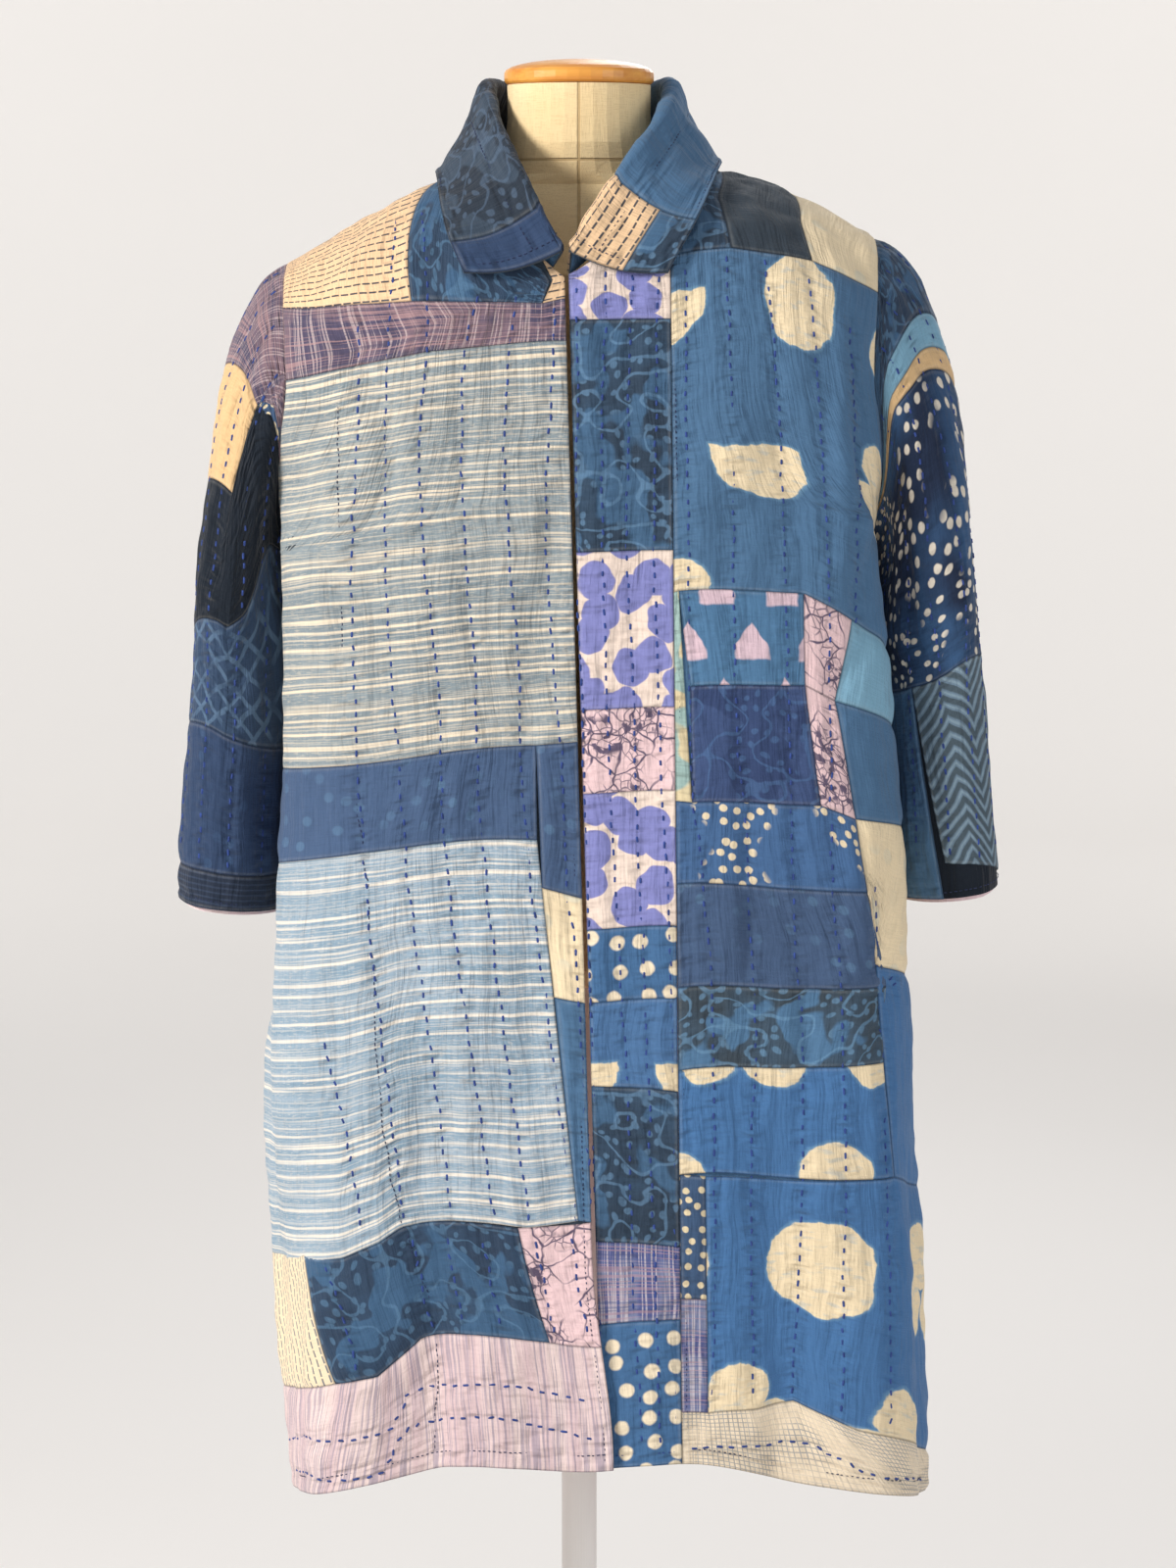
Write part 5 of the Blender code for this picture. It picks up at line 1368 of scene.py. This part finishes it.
# The sleeves: straight tubes set low on the arm, sewn underneath, hanging flat with no arm inside.
# Each is patched in darker cottons, and its cuff is turned up and stitched over a pale lining.
SLEEVE_ROWS = {
    # down, outer x, outer z, inner x, inner z, half depth
    "right": (
        (0.00, 0.2276, 1.357, 0.2090, 1.140, 0.070),
        (0.12, 0.2440, 1.312, 0.2140, 1.108, 0.080),
        (0.25, 0.2690, 1.255, 0.2150, 1.078, 0.086),
        (0.42, 0.2800, 1.175, 0.2145, 1.035, 0.084),
        (0.60, 0.2870, 1.080, 0.2150, 0.980, 0.082),
        (0.80, 0.2960, 0.965, 0.2170, 0.915, 0.081),
        (1.00, 0.3050, 0.864, 0.2190, 0.852, 0.080),
    ),
    "left": (
        (0.00, 0.2315, 1.375, 0.2120, 1.145, 0.070),
        (0.12, 0.2600, 1.333, 0.2240, 1.112, 0.080),
        (0.25, 0.2830, 1.262, 0.2265, 1.080, 0.085),
        (0.42, 0.2920, 1.165, 0.2275, 1.040, 0.084),
        (0.60, 0.2995, 1.072, 0.2290, 0.985, 0.083),
        (0.80, 0.3105, 0.965, 0.2320, 0.922, 0.082),
        (1.00, 0.3200, 0.874, 0.2360, 0.862, 0.081),
    ),
}


def armhole_points(front, back_half, around):
    """The armhole's seam line, by degrees round from the shoulder tip and down the front."""
    near = np.where(around <= 180, around, 360 - around)
    upper = 0.9 + 0.1 * np.sin(np.radians(90 * (1 - near / 120)))
    lower = UNDERARM + (180 - near) / 60 * (0.9 - UNDERARM)
    rise = np.where(near <= 120, upper, lower)
    sides = []
    for grid in (front, back_half):
        sides.append(np.stack([np.interp(rise, rows[::-1], grid[-1, ::-1, k]) for k in range(3)], -1))
    return np.where((around <= 180)[:, None], sides[0], sides[1])


def sleeve_points(side, front, back_half, around, long=64):
    """Rings of a sleeve from the armhole to the cuff, at places given in degrees round it."""
    sign = -1 if side == "right" else 1
    loop = armhole_points(front, back_half, around)
    turn = np.radians(around)
    grid = []
    for down in np.linspace(0, 1, long):
        outer_x, outer_z, inner_x, inner_z, half = (float(curve(SLEEVE_ROWS[side], k, down)) for k in range(1, 6))
        bulge = np.zeros(len(around))
        for at, wide, deep, begin in ((50, 22, -0.006, 0.15), (150, 25, 0.005, 0.20), (-70, 25, -0.006, 0.10),
                                      (-140, 25, 0.005, 0.25)):
            gap = (around - at + 180) % 360 - 180
            bulge = bulge + deep * np.exp(-((gap / wide) ** 2)) * ease(down, begin, 1.0)
        near = np.abs(np.cos(turn)) ** (2 / SLEEVE_BOXINESS) * np.sign(np.cos(turn))
        deep = np.abs(np.sin(turn)) ** (2 / SLEEVE_BOXINESS) * np.sign(np.sin(turn))
        share = (1 + near) / 2
        x = inner_x + share * (outer_x - inner_x)
        z = inner_z + share * (outer_z - inner_z)
        y = -deep * half * (1 + bulge / half)
        x = x - y * 0.32 * ease(down, 0, 0.5)
        y = y + 0.018 * ease(down, 0, 0.4)
        ring = np.stack([sign * x, y, z], -1)
        under = ((1 - np.cos(turn)) / 2)[:, None] ** 4
        push = (1 - under) * np.array([sign * 0.90, 0, -0.35]) + under * np.array([sign * 0.40, 0, -0.92])
        start = loop + push * 0.22 * down
        grid.append(start + (ring - start) * ease(down, 0.0, 0.42))
    return np.array(grid).transpose(1, 0, 2)


ring = np.linspace(0, 360, 97)
sleeve_grids = {
    "right": sleeve_points("right", right_cloth.points[::-1], back_right, ring),
    "left": sleeve_points("left", left_cloth.points, back_left, ring)[::-1],
}
sleeve_creases = {
    "right": (
        ((0.08, 0.05), (0.30, 0.34), -0.0040, 0.018), ((0.30, 0.10), (0.22, 0.55), 0.0030, 0.018),
        ((0.40, 0.16), (0.28, 0.60), -0.0042, 0.016), ((0.12, 0.45), (0.16, 0.95), 0.0026, 0.018),
        ((0.20, 0.60), (0.24, 1.00), -0.0028, 0.016), ((0.68, 0.10), (0.74, 0.55), -0.0036, 0.018),
        ((0.80, 0.30), (0.84, 0.95), 0.0030, 0.020), ((0.92, 0.10), (0.86, 0.45), -0.0030, 0.018),
    ),
    "left": (
        ((0.92, 0.05), (0.70, 0.34), -0.0040, 0.018), ((0.70, 0.12), (0.78, 0.55), 0.0032, 0.018),
        ((0.60, 0.18), (0.72, 0.62), -0.0044, 0.016), ((0.88, 0.45), (0.84, 0.95), 0.0028, 0.018),
        ((0.80, 0.58), (0.76, 1.00), -0.0030, 0.016), ((0.32, 0.10), (0.26, 0.55), -0.0036, 0.018),
        ((0.20, 0.30), (0.16, 0.95), 0.0030, 0.020), ((0.08, 0.10), (0.14, 0.45), -0.0030, 0.018),
    ),
}
sleeve_bases, sleeve_sets, sleeve_cloths = {}, {}, {}
for side, seed in (("right", 15), ("left", 16)):
    whole = Cloth(sleeve_grids[side], sleeve_creases[side])
    whole.points[-1] = whole.points[0]
    sleeve_cloths[side] = whole
    half = len(ring) // 2
    if side == "right":
        fore, aft = whole.points[:half + 1], whole.points[half:]
    else:
        aft, fore = whole.points[:half + 1], whole.points[half:]
    garment = Garment("sleeve_" + side, seed)
    sleeve_bases[side] = garment.base([whole.points], "night")
    fore, aft = Cloth(fore), Cloth(aft)
    fore_plan, aft_plan = shares_of(fore), shares_of(aft)
    if side == "right":
        places = (
            ("mauve", [("<", "^"), (">", "^")], [("<", 400), (264, 414), (298, 381)]),
            ("navy_dots", [(264, 414), (298, 381)], [(270, 425), (298, 465)]),
            ("tan", [("<", 400), (264, 414)], [("<", 510), (238, 505)]),
            ("night", [("<", 510), (238, 505), (264, 414), (298, 465)], [("<", 690), (232, 640), (292, 565)]),
            ("lattice", [("<", 690), (232, 640), (292, 565)], [("<", 745), (">", 750)]),
            ("indigo_dark", [("<", 745), (">", 750)], [("<", 870), (">", 880)]),
            ("ribs", [("<", 870), (">", 880)], [("<", "_"), (">", "_")]),
        )
        boxes(garment, aft_plan, (
            ("mauve", 0, 1, 0, 0.10), ("night", 0, 0.5, 0.10, 0.45), ("dense_dots", 0.5, 1, 0.10, 0.52),
            ("lattice", 0, 0.5, 0.45, 0.70), ("indigo", 0, 0.5, 0.70, 0.94), ("vine", 0.5, 1, 0.52, 0.94),
            ("ribs", 0, 1, 0.94, 1),
        ))
    else:
        places = (
            ("vine_dark", [("<", "^"), (">", "^")], [("<", 400), (905, 372), (">", 350)]),
            ("light_blue", [("<", 400), (905, 372), (">", 350)], [("<", 468), (905, 452), (">", 405)]),
            ("tan", [("<", 468), (905, 452), (">", 405)], [("<", 505), (905, 492), (">", 440)]),
            ("dense_dots", [("<", 505), (905, 492), (">", 440)], [("<", 700), (932, 702), (">", 690)]),
            ("chevron", [(932, 702), (">", 690)], [(965, 880), (">", "_")]),
            ("blue", [("<", 700), (932, 702)], [("<", "_"), (965, "_")]),
        )
        boxes(garment, aft_plan, (
            ("charcoal", 0, 1, 0, 0.08), ("cream", 0, 1, 0.08, 0.16), ("stripe", 0, 0.5, 0.16, 0.55),
            ("indigo_deep", 0.5, 1, 0.16, 0.42), ("disc_small", 0.5, 1, 0.42, 0.72), ("chevron", 0, 0.5, 0.55, 0.82),
            ("blue", 0, 0.5, 0.82, 1), ("vine_grey", 0.5, 1, 0.72, 1),
        ))
    for fabric, top, bottom in places:
        garment.patch(fore, fabric, top, bottom)
    for plan in (fore_plan, aft_plan):
        quilted(garment, plan, (0.10, 0.26, 0.42, 0.58, 0.74, 0.90), 0.02, 0.93)
        garment.fine_row(plan, (0.0, 0.985), (0.5, 0.985), (1.0, 0.985))
    sleeve_sets[side] = garment.finish()


# The cuff linings: bands of pale pink lining just inside the sleeves, a few millimetres longer,
# so that a light line shows at each cuff.
for side in ("right", "left"):
    whole = sleeve_cloths[side]
    tube = whole.points
    normals = whole.facing()[:, -1]
    down = tube[:, -1] - tube[:, -2]
    down /= np.linalg.norm(down, axis=-1, keepdims=True)
    inside = tube[:, -1] - normals * 0.0032
    grid = np.stack([inside + down * (-0.030 + 0.033 * k / 5) for k in range(6)], 1)
    garment = Garment("cuff_lining_" + side, 17)
    piece = garment.base([grid], "lining", wall=0.0012)


# The collar: one folded band sewn along the neckline, standing up and turned over outside.
# One half is plain blue and the other dark vine print, each with its own small end patches.
ROLL_RADIUS = 0.0048
COLLAR_ROWS = (
    # along, roll x, roll y, roll z, fall x, fall y, fall z, left lift
    (0.00, 0.000, 0.077, 1.496, 0.000, 0.110, 1.416, 0.000),
    (0.20, 0.031, 0.071, 1.496, 0.047, 0.101, 1.418, 0.000),
    (0.40, 0.061, 0.044, 1.496, 0.091, 0.061, 1.430, 0.003),
    (0.54, 0.072, 0.004, 1.494, 0.109, 0.004, 1.431, 0.007),
    (0.70, 0.062, -0.050, 1.466, 0.107, -0.057, 1.421, 0.006),
    (0.85, 0.035, -0.100, 1.420, 0.095, -0.113, 1.389, 0.002),
    (1.00, 0.003, -0.130, 1.368, 0.077, -0.129, 1.352, 0.000),
)
neck_line = [
    *right_grid[0][rows >= NECK_CORNER][::-1],
    *back_right[0][rows > BACK_NECK],
    back_right[0][first],
    *back_left[0][rows > BACK_NECK][::-1],
    *left_grid[0][rows > band_rise],
    body_points(angle_at(BAND_TOP_X, 1.38), band_rise, NECK_HEIGHT),
    body_points(angle_at(CORNER_X["left"], 1.38), NECK_CORNER, NECK_HEIGHT),
]
neck_line = np.array(neck_line)
neck_run = np.concatenate([[0], np.cumsum(np.linalg.norm(np.diff(neck_line, axis=0), axis=1))])
collar_grid = []
for station in np.linspace(-1, 1, 121):
    sign = -1 if station < 0 else 1
    roll_x, roll_y, roll_z, fall_x, fall_y, fall_z, lift = (
        float(curve(COLLAR_ROWS, k, abs(station))) for k in range(1, 8)
    )
    shift = -0.0095 * float(ease(abs(station), 0.6, 1.0))
    top = np.array([sign * roll_x + shift, roll_y, roll_z])
    edge = np.array([sign * fall_x + shift, fall_y, fall_z + lift * (station > 0)])
    out = np.array([top[0], top[1], 0.0])
    out /= np.linalg.norm(out)
    seam = [np.interp((station + 1) / 2 * neck_run[-1], neck_run, neck_line[:, k]) for k in range(3)]
    foot = np.array(seam) - out * 0.0044
    line = [foot + (top - out * ROLL_RADIUS - foot) * share for share in np.linspace(0, 1, 8)[:-1]]
    for turn in np.linspace(0, math.pi, 9):
        line.append(top - out * ROLL_RADIUS * math.cos(turn) + np.array([0, 0, ROLL_RADIUS * math.sin(turn)]))
    for share in np.linspace(0, 1, 17)[1:]:
        start = top + out * ROLL_RADIUS
        line.append(start + (edge - start) * share + np.array([0, 0, -0.006 * math.sin(math.pi * share)]))
    collar_grid.append(line)
collar_cloth = Cloth(np.array(collar_grid)[::-1], (
    ((0.90, 0.60), (0.80, 0.95), 0.0014, 0.010), ((0.30, 0.62), (0.24, 0.92), -0.0014, 0.010),
    ((0.14, 0.55), (0.10, 0.90), 0.0012, 0.009), ((0.72, 0.56), (0.76, 0.90), -0.0012, 0.012),
))
collar = Garment("collar", 18)
collar_base = collar.base([collar_cloth.points], "charcoal", "blue")
collar_plan = shares_of(collar_cloth)
boxes(collar, collar_plan, (
    ("indigo_dark", 0.955, 1.00, 0, 1), ("vine_deep", 0.62, 0.955, 0, 1), ("charcoal", 0.50, 0.62, 0, 1),
    ("blue", 0.075, 0.50, 0, 1), ("dash", 0.0, 0.075, 0, 0.76), ("vine", 0.0, 0.075, 0.76, 1),
))
for line in ([(0.012, 0.30), (0.012, 0.6), (0.012, 0.99)], [(0.01, 0.97), (0.5, 0.97), (0.99, 0.97)],
             [(0.988, 0.30), (0.988, 0.6), (0.988, 0.99)], [(0.01, 0.60), (0.5, 0.60), (0.99, 0.60)]):
    collar.fine_row(collar_plan, *line, length=0.0030, pitch=0.0046)
collar_pieces = collar.finish()
